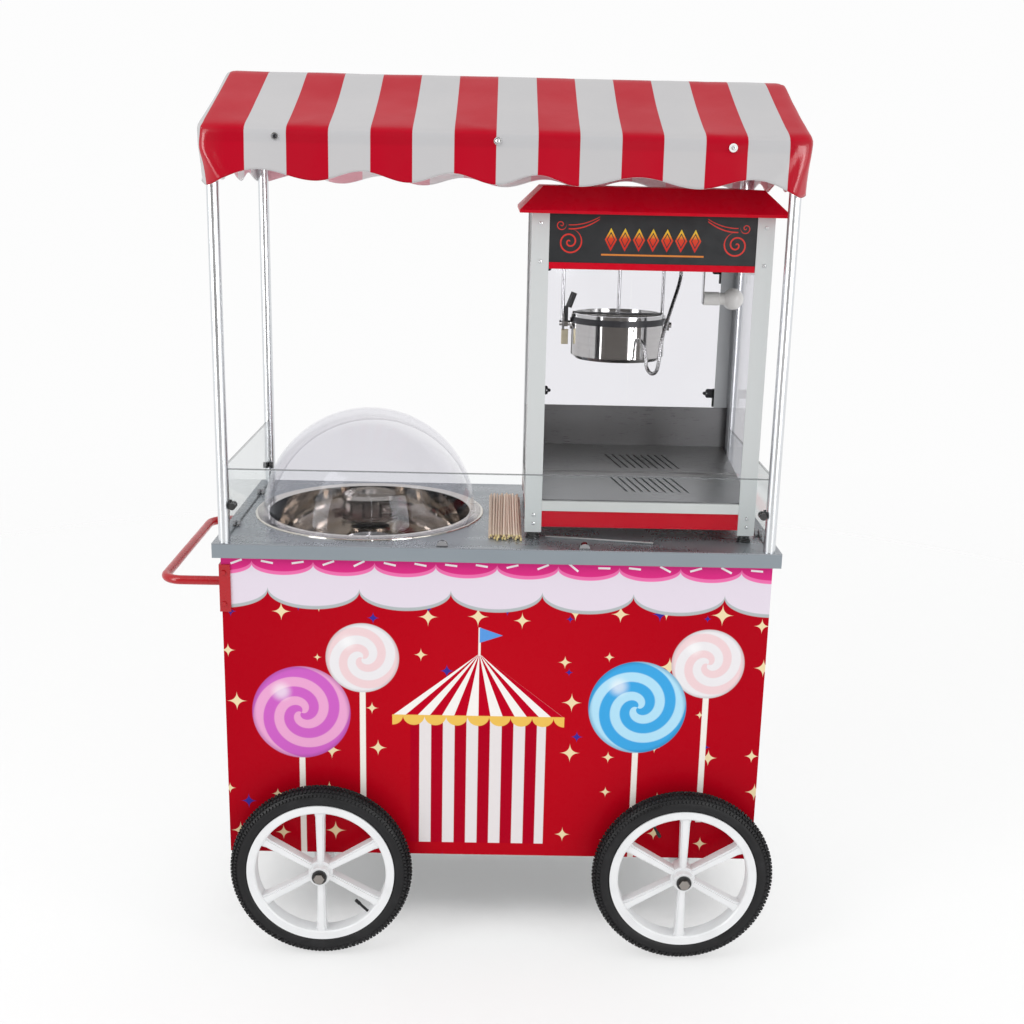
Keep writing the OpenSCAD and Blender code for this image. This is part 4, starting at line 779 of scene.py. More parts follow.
# %% Sign
SIGN_Z, SIGN_HALF, SIGN_BACK = 1.594, 0.2135, -0.2176
SCROLL_RED = (0.62, 0.030, 0.020)
SCROLLS = [((0.172, -0.008), 0.026, 2.0, 0.1), ((0.190, 0.026), 0.011, 1.4, 0.5)]
LOZENGE = 0.029
FLAME = [(0.0, (0.55, 0.015, 0.010)), (0.55, (0.62, 0.05, 0.012)),
         (0.75, (0.70, 0.26, 0.02)), (1.0, (0.72, 0.50, 0.03))]
sign_ink = Paint("sign_ink", (0.03, 0.03, 0.033), 0.35, Specular_IOR_Level=0.2)
p = sign_ink
x, z = p.axes()[0] - POP[0], p.axes()[2] - SIGN_Z
half_x = abs(x)
ink = p.mix(p.noise(9, 3) * 0.5, (0.020, 0.021, 0.023), (0.045, 0.047, 0.050))
for centre, radius, turns, start in SCROLLS:
    disc, reach, angle = ink_disc(p, half_x, z, centre, radius, 0.0006)
    coil = p.sum("FRACT", reach / radius * turns + angle / (2 * math.pi) + start)
    ink = p.mix(disc * p.ease(abs(coil - 0.5), 0.15, 0.09), ink, SCROLL_RED)
for lift, bend, thick in ((0.018, 6.0, 0.0016), (0.026, 5.0, 0.0012)):
    arc_z = lift + (half_x - 0.170) * (half_x - 0.170) * bend
    arm = p.ease(abs(z - arc_z), thick, thick * 0.6)
    ink = p.mix(arm * p.within(half_x, 0.1115, 0.1745, 0.0015), ink, SCROLL_RED)
from_tile = abs(p.sum("FRACT", x / LOZENGE + 0.5) - 0.5) * LOZENGE
edge_sum = from_tile / 0.0125 + abs(z + 0.002) / 0.0235
row = p.ease(half_x, 0.1020, 0.1012)
fade = p.node("ShaderNodeValToRGB", {"stops": FLAME}, {"Fac": p.ease(z, -0.024, 0.022)})
ink = p.mix(p.ease(edge_sum, 1.02, 0.98) * row, ink, fade)
inner_line = p.within(edge_sum, 0.52, 0.68, 0.02)
ink = p.mix(inner_line * row, ink, (0.030, 0.031, 0.034))
rule = ink_box(p, x, z, (-0.106, -0.0345), (0.106, -0.0310), 0.0004)
ink = p.mix(rule, ink, (0.62, 0.20, 0.03))
p.set(Base_Color=ink, Roughness=p.spread(p.noise(50, 3), 0.28, 0.42))
p.bump(p.noise(400, 2), 0.06, 0.0003)
left, right = POP[0] - SIGN_HALF, POP[0] + SIGN_HALF
sign_plate = plate("sign_plate", (left, -0.2190, 1.5445), (right, SIGN_BACK, 1.6425), sign_ink)
sign_strip = plate("sign_strip", (left, -0.2198, 1.5305), (right, SIGN_BACK, 1.5440), red_coat, 0.0008)
settle(sign_plate, "cart", "header_black")
settle(sign_strip, "cart", "red_paint")
print("sign", sign_plate.name, sign_strip.name)

# %% [markdown]
# The canopy is one striped vinyl sheet pulled over a gable frame, screwed to the front rail and cut in
# waves along its hem. A cloth simulation could hang it, but a stretched sheet hardly moves, and every wave
# and crease has its own place. So it is not simulated: stations run round the eave, and rows
# go down to the hem and up to the ridge. The sheet hangs a little between the rafters, pulls towards its
# screws and folds at the corners. A few smoothing passes round it over the rails.

# %% Canopy cloth grid
HALF_X, HALF_Y, EAVE, RIDGE = 0.595, 0.3109, 1.794, 1.920
VALANCE, WAVE, SWELL, CORNER_DROP = 0.102, 0.020, 0.009, 0.012
CORNER_R, CORNER_GROW = 0.010, 0.026
FRONT_LIFT = 0.005
LONG, SHORT, DOWN, UP = 168, 84, 16, 22
RING = 2 * (LONG + SHORT)
LOWS = [0.0, 0.187, 0.342, 0.486, 0.623, 0.821, 1.0]
SCREWS = [(-0.449, 1.780), (-0.015, 1.780), (0.445, 1.777)]


def ring_place(i):
    """Side 0 front, 1 right, 2 back, 3 left, and the share of the way along it."""
    i %= RING
    for side, count in enumerate((LONG, SHORT, LONG, SHORT)):
        if i < count:
            return side, i / count
        i -= count


def ring_point(side, share, radius):
    """A point on the eave rectangle with rounded corners."""
    half, other = (HALF_X, HALF_Y) if side % 2 == 0 else (HALF_Y, HALF_X)
    s = (2 * share - 1) * half
    over = max(abs(s) - (half - radius), 0.0)
    turn = over / radius * math.pi / 4
    along = math.copysign(half - radius + radius * math.sin(turn), s) if over else s
    out = other - radius + radius * math.cos(turn)
    return [(along, -out), (out, along), (-along, out), (-out, -along)][side]


print("eave ring", RING, "points, slope", UP, "rows")

# %% [markdown]
# The hem is cut in waves. Those of the front differ in width, as they do when cut by hand; the other sides
# have even ones. Near the front corners, where the sheet is folded double, it hangs a little lower.

# %% Hem and flat sheet


def low_share(side, share):
    """One at a low point of the hem, zero at a high point."""
    if side == 0:
        phase = np.interp(share, LOWS, range(7))
    else:
        phase = share * (6 if side == 2 else 3)
    return 0.5 + 0.5 * math.cos(2 * math.pi * phase)


def corner_drop(side, share):
    """How much lower the hem hangs near the two front corners."""
    away = [min(share, 1 - share) * 2 * HALF_X, share * 2 * HALF_Y, 1.0, (1 - share) * 2 * HALF_Y][side]
    return CORNER_DROP * math.exp(-(away / 0.045) ** 2)


cloth_at, cloth_sheet, cloth_u, cloth_hem = [], [], [], []


def cloth_point(x, y, z, side, a, b, u, hem=0.0):
    """Keep a point with its side and its place on the flat sheet, and give its number."""
    cloth_at.append((x, y, z))
    cloth_sheet.append((side, a, b))
    cloth_u.append(u)
    cloth_hem.append(hem)
    return len(cloth_at) - 1


def end_stripe(side, reach):
    """The band number runs on round the corner, and stops short of another band at the middle."""
    reach = min(reach, HALF_Y - 0.006)
    return HALF_X + reach if side == 1 else -HALF_X - reach


print("front waves", len(LOWS) - 1)

# %% [markdown]
# The valance is a ring of rows that fall from the eave to the hem. All rows have the same number of points,
# so that faces can later be laid between them by counting. The corners open out a little towards the hem.

# %% Valance rows
ring = []
for k in range(DOWN + 1):
    row = []
    for i in range(RING):
        side, share = ring_place(i)
        low = low_share(side, share)
        x, y = ring_point(side, share, CORNER_R + CORNER_GROW * k / DOWN)
        fall = VALANCE + FRONT_LIFT * y / HALF_Y - WAVE * (1 - low) + corner_drop(side, share)
        b = -k / DOWN * fall
        if side % 2 == 0:
            u = x
        else:
            u = end_stripe(side, min(share, 1 - share) * 2 * HALF_Y)
        row.append(cloth_point(x, y, EAVE + b, side, x if side % 2 == 0 else y, b, u, float(k == DOWN)))
    ring.append(row)
print("valance", len(ring), "rows of", RING)

# %% [markdown]
# The slopes run up to the ridge, and the gables fill the ends between them. They start from the eave points
# of the valance and share the points at the rakes, so that the sheet is one piece with no seam to open.

# %% Slope and gable rows
slope_len = math.hypot(HALF_Y, RIDGE - EAVE)
ridge_xs = [(2 * j / LONG - 1) * HALF_X for j in range(LONG + 1)]
ridge_row = [cloth_point(x, 0, RIDGE, 0, x, slope_len, x) for x in ridge_xs]


def slope_rows(side, eave_row):
    rows = [eave_row]
    for r in range(1, UP):
        t = r / UP
        y = (1 - t) * HALF_Y * (-1 if side == 0 else 1)
        z = EAVE + (RIDGE - EAVE) * t
        rows.append([cloth_point(x, y, z, side, x, t * slope_len, x) for x in ridge_xs])
    return rows + [ridge_row]


front_rows = slope_rows(0, [ring[0][j] for j in range(LONG + 1)])
back_rows = slope_rows(2, [ring[0][2 * LONG + SHORT - j] for j in range(LONG + 1)])


def gable_rows(side, eave_row):
    """Rows from the front rake to the back rake, narrower towards the ridge."""
    end = LONG if side == 1 else 0
    rows = [eave_row]
    for r in range(1, UP):
        t = r / UP
        half = (1 - t) * HALF_Y
        rise = (RIDGE - EAVE) * t
        inner = []
        for j in range(1, SHORT):
            share = j / SHORT
            y = (2 * share - 1) * half
            u = end_stripe(side, min(share, 1 - share) * 2 * half)
            x = HALF_X if side == 1 else -HALF_X
            inner.append(cloth_point(x, y, EAVE + rise, side, y, rise, u))
        rows.append([front_rows[r][end]] + inner + [back_rows[r][end]])
    return rows


right_rows = gable_rows(1, [ring[0][LONG + j] for j in range(SHORT + 1)])
left_rows = gable_rows(3, [ring[0][-j % RING] for j in range(SHORT + 1)])
print("slope rows", len(front_rows), "gable rows", len(right_rows))

# %% [markdown]
# Faces join each row to the next one. Two of the four sides run the other way round, so their faces are
# turned over to look outwards.

# %% Canopy faces
cloth_faces = []
for k in range(DOWN):
    for i in range(RING):
        n = (i + 1) % RING
        cloth_faces.append((ring[k][i], ring[k + 1][i], ring[k + 1][n], ring[k][n]))
for rows, flip in ((front_rows, False), (back_rows, True), (right_rows, False), (left_rows, True)):
    for low, high in zip(rows, rows[1:]):
        for j in range(len(low) - 1):
            face = (low[j], low[j + 1], high[j + 1], high[j])
            cloth_faces.append(face[::-1] if flip else face)
for rows, end, flip in ((right_rows, LONG, False), (left_rows, 0, True)):
    for j in range(SHORT):
        face = (rows[-1][j], rows[-1][j + 1], ridge_row[end])
        cloth_faces.append(face[::-1] if flip else face)
print("cloth points", len(cloth_at), "faces", len(cloth_faces))

# %% [markdown]
# Folds are small pushes out of the surface. Each crease is a line on one side of the flat sheet, from a
# start to an end, with a height and a width. Two fan out from every screw, and the corners, where there is
# too much sheet, carry larger folds that run down to the hem.

# %% Folds and creases
CREASES = [
    (0, (-0.015, -0.014), (-0.19, 0.11), 0.0038, 0.007),
    (0, (-0.015, -0.014), (0.09, 0.07), 0.0020, 0.006),
    (0, (-0.449, -0.014), (-0.56, 0.05), 0.0030, 0.006),
    (0, (-0.449, -0.014), (-0.36, 0.06), 0.0020, 0.006),
    (0, (0.445, -0.017), (0.35, 0.045), 0.0032, 0.006),
    (0, (0.445, -0.017), (0.585, 0.022), 0.0034, 0.006),
    (0, (-0.598, -0.022), (-0.552, -0.10), 0.0095, 0.009),
    (0, (-0.575, -0.015), (-0.47, -0.075), 0.0012, 0.012),
    (0, (0.590, -0.020), (0.568, -0.105), 0.0065, 0.007),
    (0, (0.565, -0.010), (0.525, -0.09), 0.0030, 0.010),
    (0, (0.596, 0.03), (0.55, -0.05), 0.0032, 0.007),
    (0, (0.575, 0.012), (0.540, 0.045), 0.0026, 0.006),
    (1, (-0.311, -0.015), (-0.285, -0.10), 0.0040, 0.008),
    (1, (-0.29, 0.0), (-0.20, -0.07), 0.0018, 0.012),
    (3, (-0.311, -0.015), (-0.28, -0.10), 0.0040, 0.008),
    (3, (-0.28, 0.01), (-0.18, -0.06), 0.0018, 0.012),
    (2, (-0.59, -0.01), (-0.53, -0.09), 0.0030, 0.010),
    (2, (0.59, -0.01), (0.53, -0.09), 0.0030, 0.010),
]


def crease_push(side, a, b):
    push = 0.0
    for on, start, stop, height, width in CREASES:
        if on != side:
            continue
        da, db = stop[0] - start[0], stop[1] - start[1]
        t = ((a - start[0]) * da + (b - start[1]) * db) / (da * da + db * db)
        t = min(max(t, 0.0), 1.0)
        off = math.hypot(a - start[0] - t * da, b - start[1] - t * db)
        push += height * math.exp(-(off / width) ** 2) * (1 - 0.6 * t if b > 0 else 1)
    return push


print("creases", len(CREASES))

# %% [markdown]
# Besides the creases the sheet is never quite even: it sags between the rafters, swells out at the high
# points of the hem and is puckered over the gable rails. The normals say which way is out.

# %% Sag and swell
STAND_OFF, SAG, PUCKER = 0.0045, 0.0065, 0.0055
RAFTER_X = 0.5807


def cloth_push(side, a, b):
    """How far a point of the sheet stands out from the tight shape."""
    push = STAND_OFF + crease_push(side, a, b)
    spot = Vector((a * 9, b * 9, side * 7.0))
    push += 0.0010 * noise.noise(spot) + 0.0006 * noise.noise(spot * 2.7)
    if side % 2 == 0 and b > 0:
        bay = math.sin(math.pi * min(abs(a) / RAFTER_X, 1.0))
        push -= SAG * math.sin(math.pi * b / slope_len) * bay
    if b <= 0:
        deep = -b / VALANCE
        wave = low_share(side, (a / (HALF_X if side % 2 == 0 else HALF_Y) + 1) / 2)
        push += SWELL * (1 - wave) * deep ** 1.5 * (0.6 if side % 2 == 0 else 0.3)
        push += 0.0018 * deep * noise.noise(Vector((a * 22, side * 3.0, 0.5)))
    if side % 2 == 1:
        push += PUCKER * math.exp(-(b / 0.045) ** 2)
    return push


def outward(at, faces):
    """Point normals from the face normals, weighted by area."""
    normals = np.zeros_like(at)
    for face in faces:
        corner = at[list(face)]
        second = corner[-1] - corner[1] if len(face) == 4 else corner[2] - corner[1]
        normals[list(face)] += np.cross(corner[2] - corner[0], second)
    return normals / np.maximum(np.linalg.norm(normals, axis=1, keepdims=True), 1e-12)


print("sag and swell ready for", len(cloth_sheet), "points")

# %% [markdown]
# The tight shape is pushed out along its own normals, and three smoothing passes then draw every point
# half way to the mean of its neighbours. The hem keeps its cut line.

# %% Pushing and smoothing
cloth = np.array(cloth_at)
cloth += outward(cloth, cloth_faces) * np.array([cloth_push(*s) for s in cloth_sheet])[:, None]
edges = {tuple(sorted((face[i], face[i - 1]))) for face in cloth_faces for i in range(len(face))}
pairs = np.array(sorted(edges))
still = np.array(cloth_hem) > 0
for turn in range(3):
    total, count = np.zeros_like(cloth), np.zeros(len(cloth))
    for a, b in ((0, 1), (1, 0)):
        np.add.at(total, pairs[:, a], cloth[pairs[:, b]])
        np.add.at(count, pairs[:, a], 1)
    moved = cloth + 0.5 * (total / count[:, None] - cloth)
    cloth = np.where(still[:, None], cloth, moved)
print("cloth box", cloth.min(axis=0).round(4), cloth.max(axis=0).round(4))

# %% [markdown]
# The vinyl is red and white in bands as wide as a hand and glossy on its face. Its back is painted pale:
# painted light that stands in for light shining through the sheet. The bands follow a number kept with each
# point, so they stay true on the bent sheet. The hem is a plain cut, which shows as a thin white line. The
# folded corners are pulled tight and shine. The face is darkened in a mottle, and in a band just under the
# eave as painted shade over the rail.

# %% Canopy vinyl
STRIPE_PAIR, STRIPE_START = 0.164, 2.2317
VINYL_RED = (0.45, 0.0, 0.014)
vinyl = Paint("canopy_vinyl", VINYL_RED, 0.36, Specular_IOR_Level=0.08, Coat_Roughness=0.16)
p = vinyl
stripe_at, hem, inside = p.kept("stripe_u"), p.kept("hem"), p.kept("inside")
band = abs(p.sum("FRACT", (stripe_at + STRIPE_START) / STRIPE_PAIR) - 0.25)
white = p.within(band, 0.25, 0.75, 0.0035)
weave = p.noise(420, 2)
cloud = p.noise(8, 4)
face_color = p.mix(white, VINYL_RED, (0.51, 0.50, 0.505))
# Painted light: the back of the sheet is pale to stand in for light shining through the vinyl.
back_lit_color = p.mix(white, (0.90, 0.50, 0.56), (0.92, 0.91, 0.92))
color = p.mix(inside, face_color, back_lit_color)
color = p.mix(p.ease(hem, 0.93, 0.97), color, (0.78, 0.78, 0.78))
x, y, z = p.axes()
corner = p.ease(abs(x - MID), 0.545, 0.590) * p.ease(z, EAVE + 0.012, EAVE - 0.018)
# Painted shade: a darker band just under the eave, over the rail, added to a mottled darkening of the face.
rail_shade_band = p.ease(z, EAVE - 0.030, EAVE - 0.022) * p.ease(z, EAVE + 0.001, EAVE - 0.003)
mottle_and_rail_shade = (cloud * 0.3 + rail_shade_band * 0.22) * (1 - inside)
p.set(Base_Color=p.mix(mottle_and_rail_shade, color, p.mix(white, (0.30, 0.0, 0.009), (0.42, 0.43, 0.45))),
      Roughness=p.ease(cloud + weave * 0.3, 0.4, 0.9, 0.30, 0.44),
      Coat_Weight=p.spread(cloud, 0.0, 0.06) + corner * (1 - inside) * 0.8)
p.bump(weave * 0.5 + p.noise(60, 3) * 0.5, 0.05, 0.0008)
print("vinyl nodes", len(p.tree.nodes))

# %% [markdown]
# A sheet with no thickness would show no cut edge and one colour on both sides. So the inner face is the
# outer one set back by the thickness of the vinyl, and a strip of faces closes the hem. The mesh keeps three
# numbers with each point for its finish: the place of the bands, the hem and the inner face.

# %% Canopy sheet
THICK = 0.0012


def keep(piece, key, values, kind="FLOAT"):
    """Keep one value for each point with the mesh."""
    part = "vector" if kind == "FLOAT_VECTOR" else "value"
    piece.data.attributes.new(key, kind, "POINT").data.foreach_set(part, values)


inner = cloth - outward(cloth, cloth_faces) * THICK
shift = np.array((MID, 0, 0))
count = len(cloth)
hem_row = ring[DOWN]
hem_pairs = zip(hem_row, hem_row[1:] + hem_row[:1])
edge_faces = [(a, a + count, b + count, b) for a, b in hem_pairs]
inner_faces = [tuple(v + count for v in face[::-1]) for face in cloth_faces]
canopy = new_piece("canopy_sheet", np.vstack((cloth, inner)) + shift,
                   cloth_faces + inner_faces + edge_faces, vinyl.mat, True)
keep(canopy, "stripe_u", cloth_u * 2)
keep(canopy, "hem", cloth_hem * 2)
keep(canopy, "inside", [0.0] * count + [1.0] * count)
settle(canopy, "cart", "canopy_cloth", "canopy_cover")

# %% [markdown]
# Rods, screw heads and tyre walls are turned shapes. A ready cylinder has straight sides and sharp ends,
# so each is made from a profile carried round an axis in even steps, which gives rounding and recess too.

# %% Turned shapes


def ring_faces(rings, sides):
    """Quads between neighbouring rings of points."""
    faces = []
    for i in range(rings - 1):
        for k in range(sides):
            n = (k + 1) % sides
            faces.append((i * sides + k, i * sides + n, (i + 1) * sides + n, (i + 1) * sides + k))
    return faces


def lathe(profile, sides, axis="Z"):
    """Points and faces of a profile of (radius, height) turned round an axis."""
    points = []
    for radius, height in profile:
        for k in range(sides):
            a = 2 * math.pi * k / sides
            x, y = radius * math.cos(a), radius * math.sin(a)
            points.append((x, y, height) if axis == "Z" else (x, height, -y))
    return points, ring_faces(len(profile), sides)


def capped(points, faces, sides):
    """Close both ends of a turned shape."""
    return points, faces + [tuple(range(sides))[::-1], tuple(range(len(points) - sides, len(points)))]


print("turned shapes ready")

# %% [markdown]
# Screws, tyre knobs and sticks are the same small shape many times over. A node group sets one template
# on a list of points, turns each copy by a value kept with its point, makes the copies real and gives
# them their finish. Only the list of places has to be thought about.

# %% Repeat group


def repeat_group():
    tree = bpy.data.node_groups.new("repeat", "GeometryNodeTree")
    ask = {}
    for name, kind in (("Places", "NodeSocketGeometry"), ("Template", "NodeSocketObject"),
                       ("Finish", "NodeSocketMaterial"), ("Size", "NodeSocketFloat")):
        ask[name] = tree.interface.new_socket(name, in_out="INPUT", socket_type=kind).identifier
    tree.interface.new_socket("Copies", in_out="OUTPUT", socket_type="NodeSocketGeometry")
    start, end = tree.nodes.new("NodeGroupInput"), tree.nodes.new("NodeGroupOutput")
    shape = tree.nodes.new("GeometryNodeObjectInfo")
    turn = tree.nodes.new("GeometryNodeInputNamedAttribute")
    turn.data_type = "FLOAT_VECTOR"
    turn.inputs["Name"].default_value = "turn"
    euler = tree.nodes.new("FunctionNodeEulerToRotation")
    copies = tree.nodes.new("GeometryNodeInstanceOnPoints")
    real = tree.nodes.new("GeometryNodeRealizeInstances")
    coat = tree.nodes.new("GeometryNodeSetMaterial")
    links = [
        (start, "Places", copies, "Points"),
        (start, "Template", shape, "Object"),
        (shape, "Geometry", copies, "Instance"),
        (turn, "Attribute", euler, "Euler"),
        (euler, "Rotation", copies, "Rotation"),
        (start, "Size", copies, "Scale"),
        (copies, "Instances", real, "Geometry"),
        (real, "Geometry", coat, "Geometry"),
        (start, "Finish", coat, "Material"),
        (coat, "Geometry", end, "Copies"),
    ]
    for giver, out, taker, into in links:
        tree.links.new(giver.outputs[out], taker.inputs[into])
    return tree, ask


REPEAT, ASK = repeat_group()
print("repeat group", [n.bl_idname for n in REPEAT.nodes])

# %% [markdown]
# One helper runs the group. It makes the template and the points, and turns what comes out into a plain
# mesh, because instances and live node trees are lost when a model leaves Blender. The points keep a turn
# each, and a tone where every copy has its own colour.

# %% Repeats
FACE = {"-Y": (math.pi / 2, 0, 0), "+Y": (-math.pi / 2, 0, 0), "-X": (0, -math.pi / 2, 0)}


def repeat(name, shape, places, turns, finish, size=1.0, tones=None):
    """Copies of a shape at places, turned, as one mesh object."""
    template = new_piece(name + "_template", *shape)
    seeds = new_piece(name + "_seeds", places, [])
    keep(seeds, "turn", [value for turn in turns for value in turn], "FLOAT_VECTOR")
    if tones is not None:
        keep(seeds, "tone", tones)
    step = seeds.modifiers.new("repeat", "NODES")
    step.node_group = REPEAT
    for key, value in (("Template", template), ("Finish", finish.mat), ("Size", size)):
        step[ASK[key]] = value
    graph = bpy.context.evaluated_depsgraph_get()
    mesh = bpy.data.meshes.new_from_object(seeds.evaluated_get(graph))
    seeds.modifiers.remove(step)
    made = bpy.data.objects.new(name, mesh)
    scene.collection.objects.link(made)
    for old in (template, seeds):
        bpy.data.objects.remove(old)
    return made


print("facings", *FACE)

# %% [markdown]
# The tyres are small knobby bicycle tyres: a plain side wall, and six rows of blocks over the crown that
# bite the ground. Bump alone would leave the outline smooth, so the blocks are real. Those of each row stand
# between those of the next one and are turned a little, as in a moulded tread.

# %% Rubber and tread
MID_R, BODY_R = 0.178, 0.0215
BEAD_R, BEAD_HALF = 0.157, 0.0158
rubber = Paint("rubber", (0.009, 0.009, 0.010), 0.62, Specular_IOR_Level=0.3)
p = rubber
dust = p.noise(30, 5)
dusty = p.ease(dust, 0.45, 0.75) * 0.5
p.set(Base_Color=p.mix(dusty, (0.006, 0.006, 0.007), (0.024, 0.024, 0.026)),
      Roughness=p.spread(dust, 0.42, 0.68))
p.bump(p.noise(500, 2), 0.15, 0.0004)

sweep = np.radians(np.linspace(-122, 122, 31))
crown = [(MID_R + BODY_R * math.cos(a), BODY_R * math.sin(a)) for a in sweep]
low_bead = [(BEAD_R, -BEAD_HALF), (0.1646, -0.0160)]
high_bead = [(0.1646, 0.0160), (BEAD_R, BEAD_HALF), (BEAD_R, -BEAD_HALF)]
tyre_points, tyre_faces = lathe(low_bead + crown + high_bead, 144, "Y")
KNOBS, KNOB_SUNK = 140, 0.0012
knob_w, knob_l, knob_h = 0.0068, 0.0056, 0.0046
signs = ((-1, -1), (1, -1), (1, 1), (-1, 1))
knob_low = [(sx * knob_w / 2, sy * knob_l / 2, -KNOB_SUNK) for sx, sy in signs]
knob_high = [(x * 0.78, y * 0.74, knob_h - KNOB_SUNK) for x, y, z in knob_low]
knob_shape = (knob_low + knob_high, [(4, 5, 6, 7)] + ring_faces(2, 4))
knob_places, knob_turns = [], []
for row, lean in enumerate((-60, -36, -12, 12, 36, 60)):
    tilt = math.radians(lean)
    for k in range(KNOBS):
        a = 2 * math.pi * (k + 0.5 * (row % 2)) / KNOBS
        reach = MID_R + BODY_R * math.cos(tilt)
        knob_places.append((reach * math.cos(a), BODY_R * math.sin(tilt), reach * math.sin(a)))
        up = Vector((math.cos(tilt) * math.cos(a), math.sin(tilt), math.cos(tilt) * math.sin(a)))
        round_way = Vector((-math.sin(a), 0, math.cos(a)))
        across = round_way.cross(up)
        twist = math.radians((14 if k % 2 else -14) + 6 * (row - 2.5))
        turn = Matrix((across, round_way, up)).transposed() @ Matrix.Rotation(twist, 3, "Z")
        knob_turns.append(tuple(turn.to_euler()))
knobs = repeat("knobs", knob_shape, knob_places, knob_turns, rubber)
knob_points = [tuple(v.co) for v in knobs.data.vertices]
knob_faces = [tuple(f.vertices) for f in knobs.data.polygons]
bpy.data.objects.remove(knobs)
print("wall faces", len(tyre_faces), "blocks", len(knob_places))

# %% [markdown]
# Wall, blocks and the valve stem of the inner tube are joined to one mesh for each wheel, and only the wall
# is shaded smooth. The wheels stopped where they stopped, so each valve has its own angle.

# %% Tyres
VALVE_ANGLES = (-45, 120, 60, 120)
valve_profile = [(0.0030, 0.107), (0.0039, 0.109), (0.0039, 0.120), (0.0030, 0.121), (0.0030, 0.154)]
valve = capped(*lathe(valve_profile, 16), 16)
for name, valve_angle in zip(WHEELS, VALVE_ANGLES):
    wx, wy, wz = middle("rim_" + name)
    way = math.radians(valve_angle if wy < 0 else 180 - valve_angle)
    cos, sin = math.cos(way), math.sin(way)
    stem = [(z * cos - x * sin, y, z * sin + x * cos) for x, y, z in valve[0]]
    points, faces = [], []
    wheel_parts = (tyre_points, tyre_faces), (knob_points, knob_faces), (stem, valve[1])
    for some_points, some_faces in wheel_parts:
        faces += [tuple(v + len(points) for v in f) for f in some_faces]
        points += [(x + wx, y + wy, z + wz) for x, y, z in some_points]
    tyre = new_piece("knobby_" + name, points, faces, rubber.mat)
    tyre.data.polygons.foreach_set("use_smooth", [i < len(tyre_faces) for i in range(len(faces))])
    settle(tyre, "wheel_" + name, "tyre", "tyre_" + name)
print("faces of a tyre", len(faces))

# %% [markdown]
# Candy sticks are turned wooden rods, sold in bundles. They are copies of one rod in two layers. Each lies
# a little askew and has its own tone, by chance with a fixed seed, because an even stack looks like a block.
# The front ends are yellower than the sides. A steel rod lies loose before the popcorn cabinet.

# %% Candy sticks
STICK_R, STICK_LEN, STICK_FRONT = 0.0025, 0.380, -0.222
STICK_X, STICK_PITCH, STICK_RISE = MID + 0.016, 0.0057, 0.0052
wood = Paint("stick_wood", (0.62, 0.44, 0.22), 0.6)
p = wood
x, y, z = p.axes()
grain = p.noise(40, 4, p.vector(x * 30, y * 1.2, z * 30))
side_color = p.mix(p.ease(grain * 0.6 + p.kept("tone"), 0.25, 1.15), (0.54, 0.39, 0.28), (0.92, 0.77, 0.63))
front_end = p.ease(y, -0.214, -0.226)
p.set(Base_Color=p.mix(front_end * 0.8, side_color, (0.82, 0.66, 0.26)),
      Roughness=p.spread(grain, 0.5, 0.7))
p.bump(grain, 0.2, 0.0004)


def rod(radius, length):
    turned = [(radius * 0.8, 0.0), (radius, 0.0008), (radius, length - 0.0008), (radius * 0.8, length)]
    return capped(*lathe(turned, 12), 12)


rng = np.random.default_rng(7)
stick_places, stick_turns = [], []
for row in range(2):
    for i in range(13 - row):
        stick_x = STICK_X + (i - 6 + row / 2) * STICK_PITCH
        stick_z = TOP_Z + STICK_R + row * STICK_RISE
        stick_places.append((stick_x, STICK_FRONT + rng.uniform(-0.014, 0.014), stick_z))
        stick_turns.append((-math.pi / 2, 0, rng.uniform(-0.006, 0.006)))
stick_tones = list(rng.uniform(0.1, 0.85, len(stick_places)))
sticks = repeat("stick_bundle", rod(STICK_R, STICK_LEN), stick_places, stick_turns, wood, 1.0, stick_tones)
loose = repeat("loose_rod", rod(STICK_R, 0.236), [(0.156, -0.200, TOP_Z + STICK_R)],
               [(0, math.pi / 2, math.radians(-10))], sheet_metal)
settle(sticks, "cart", "stick_wood", "candy_sticks")
settle(loose, "cart", "rod_chrome")
print("sticks", len(stick_places))

# %% [markdown]
# The kettle is fed through a metal conduit. It sweeps down from the ceiling, makes one loop so that the
# kettle can tip, and enters the kettle wall. The points are the ones that the solid runs through, counted
# in millimetres from the kettle axis and the height of its pivots, and a smooth curve joins them.

# %% Conduit route
HOSE_R, HOSE_RIB = 0.004, 0.0032
HOSE_POINTS = [
    (129, -50, 133.7), (129, -52, 112), (121, -71, 86), (103, -118, 48), (84, -166, 4),
    (76, -186, -24), (73, -192, -55), (70, -183, -78), (62, -162, -87), (54, -141, -78),
    (51, -132, -55), (48, -124, -34), (43, -111, -25), (38, -98.2, -24)]
HOSE_SIDE = np.array((0.93, 0.36, 0))
hose_stops = np.array(HOSE_POINTS) / 1000 + np.array((*KETTLE, PIVOT_Z))
hose_stops = [hose_stops[0], *hose_stops, hose_stops[-1]]


def hose_way(i, t):
    """A point of the curve between stops i and i + 1, at share t."""
    a, b, c, d = hose_stops[i - 1:i + 3]
    bend = t * t * (a - 2.5 * b + 2 * c - d / 2)
    return b + t * (c - a) / 2 + bend + t ** 3 * (3 * b - a - 3 * c + d) / 2


route = [hose_way(i, k / 6) for i in range(1, len(HOSE_POINTS)) for k in range(6)] + [hose_stops[-1]]
hose_len = sum(float(np.linalg.norm(b - a)) for a, b in zip(route, route[1:]))
print("conduit length", round(hose_len, 3))

# %% [markdown]
# The conduit's skin is a row of rings set square to the route. Its ribs are too fine to model and are made
# by a wave that runs with the length kept at each point.

# %% Conduit skin


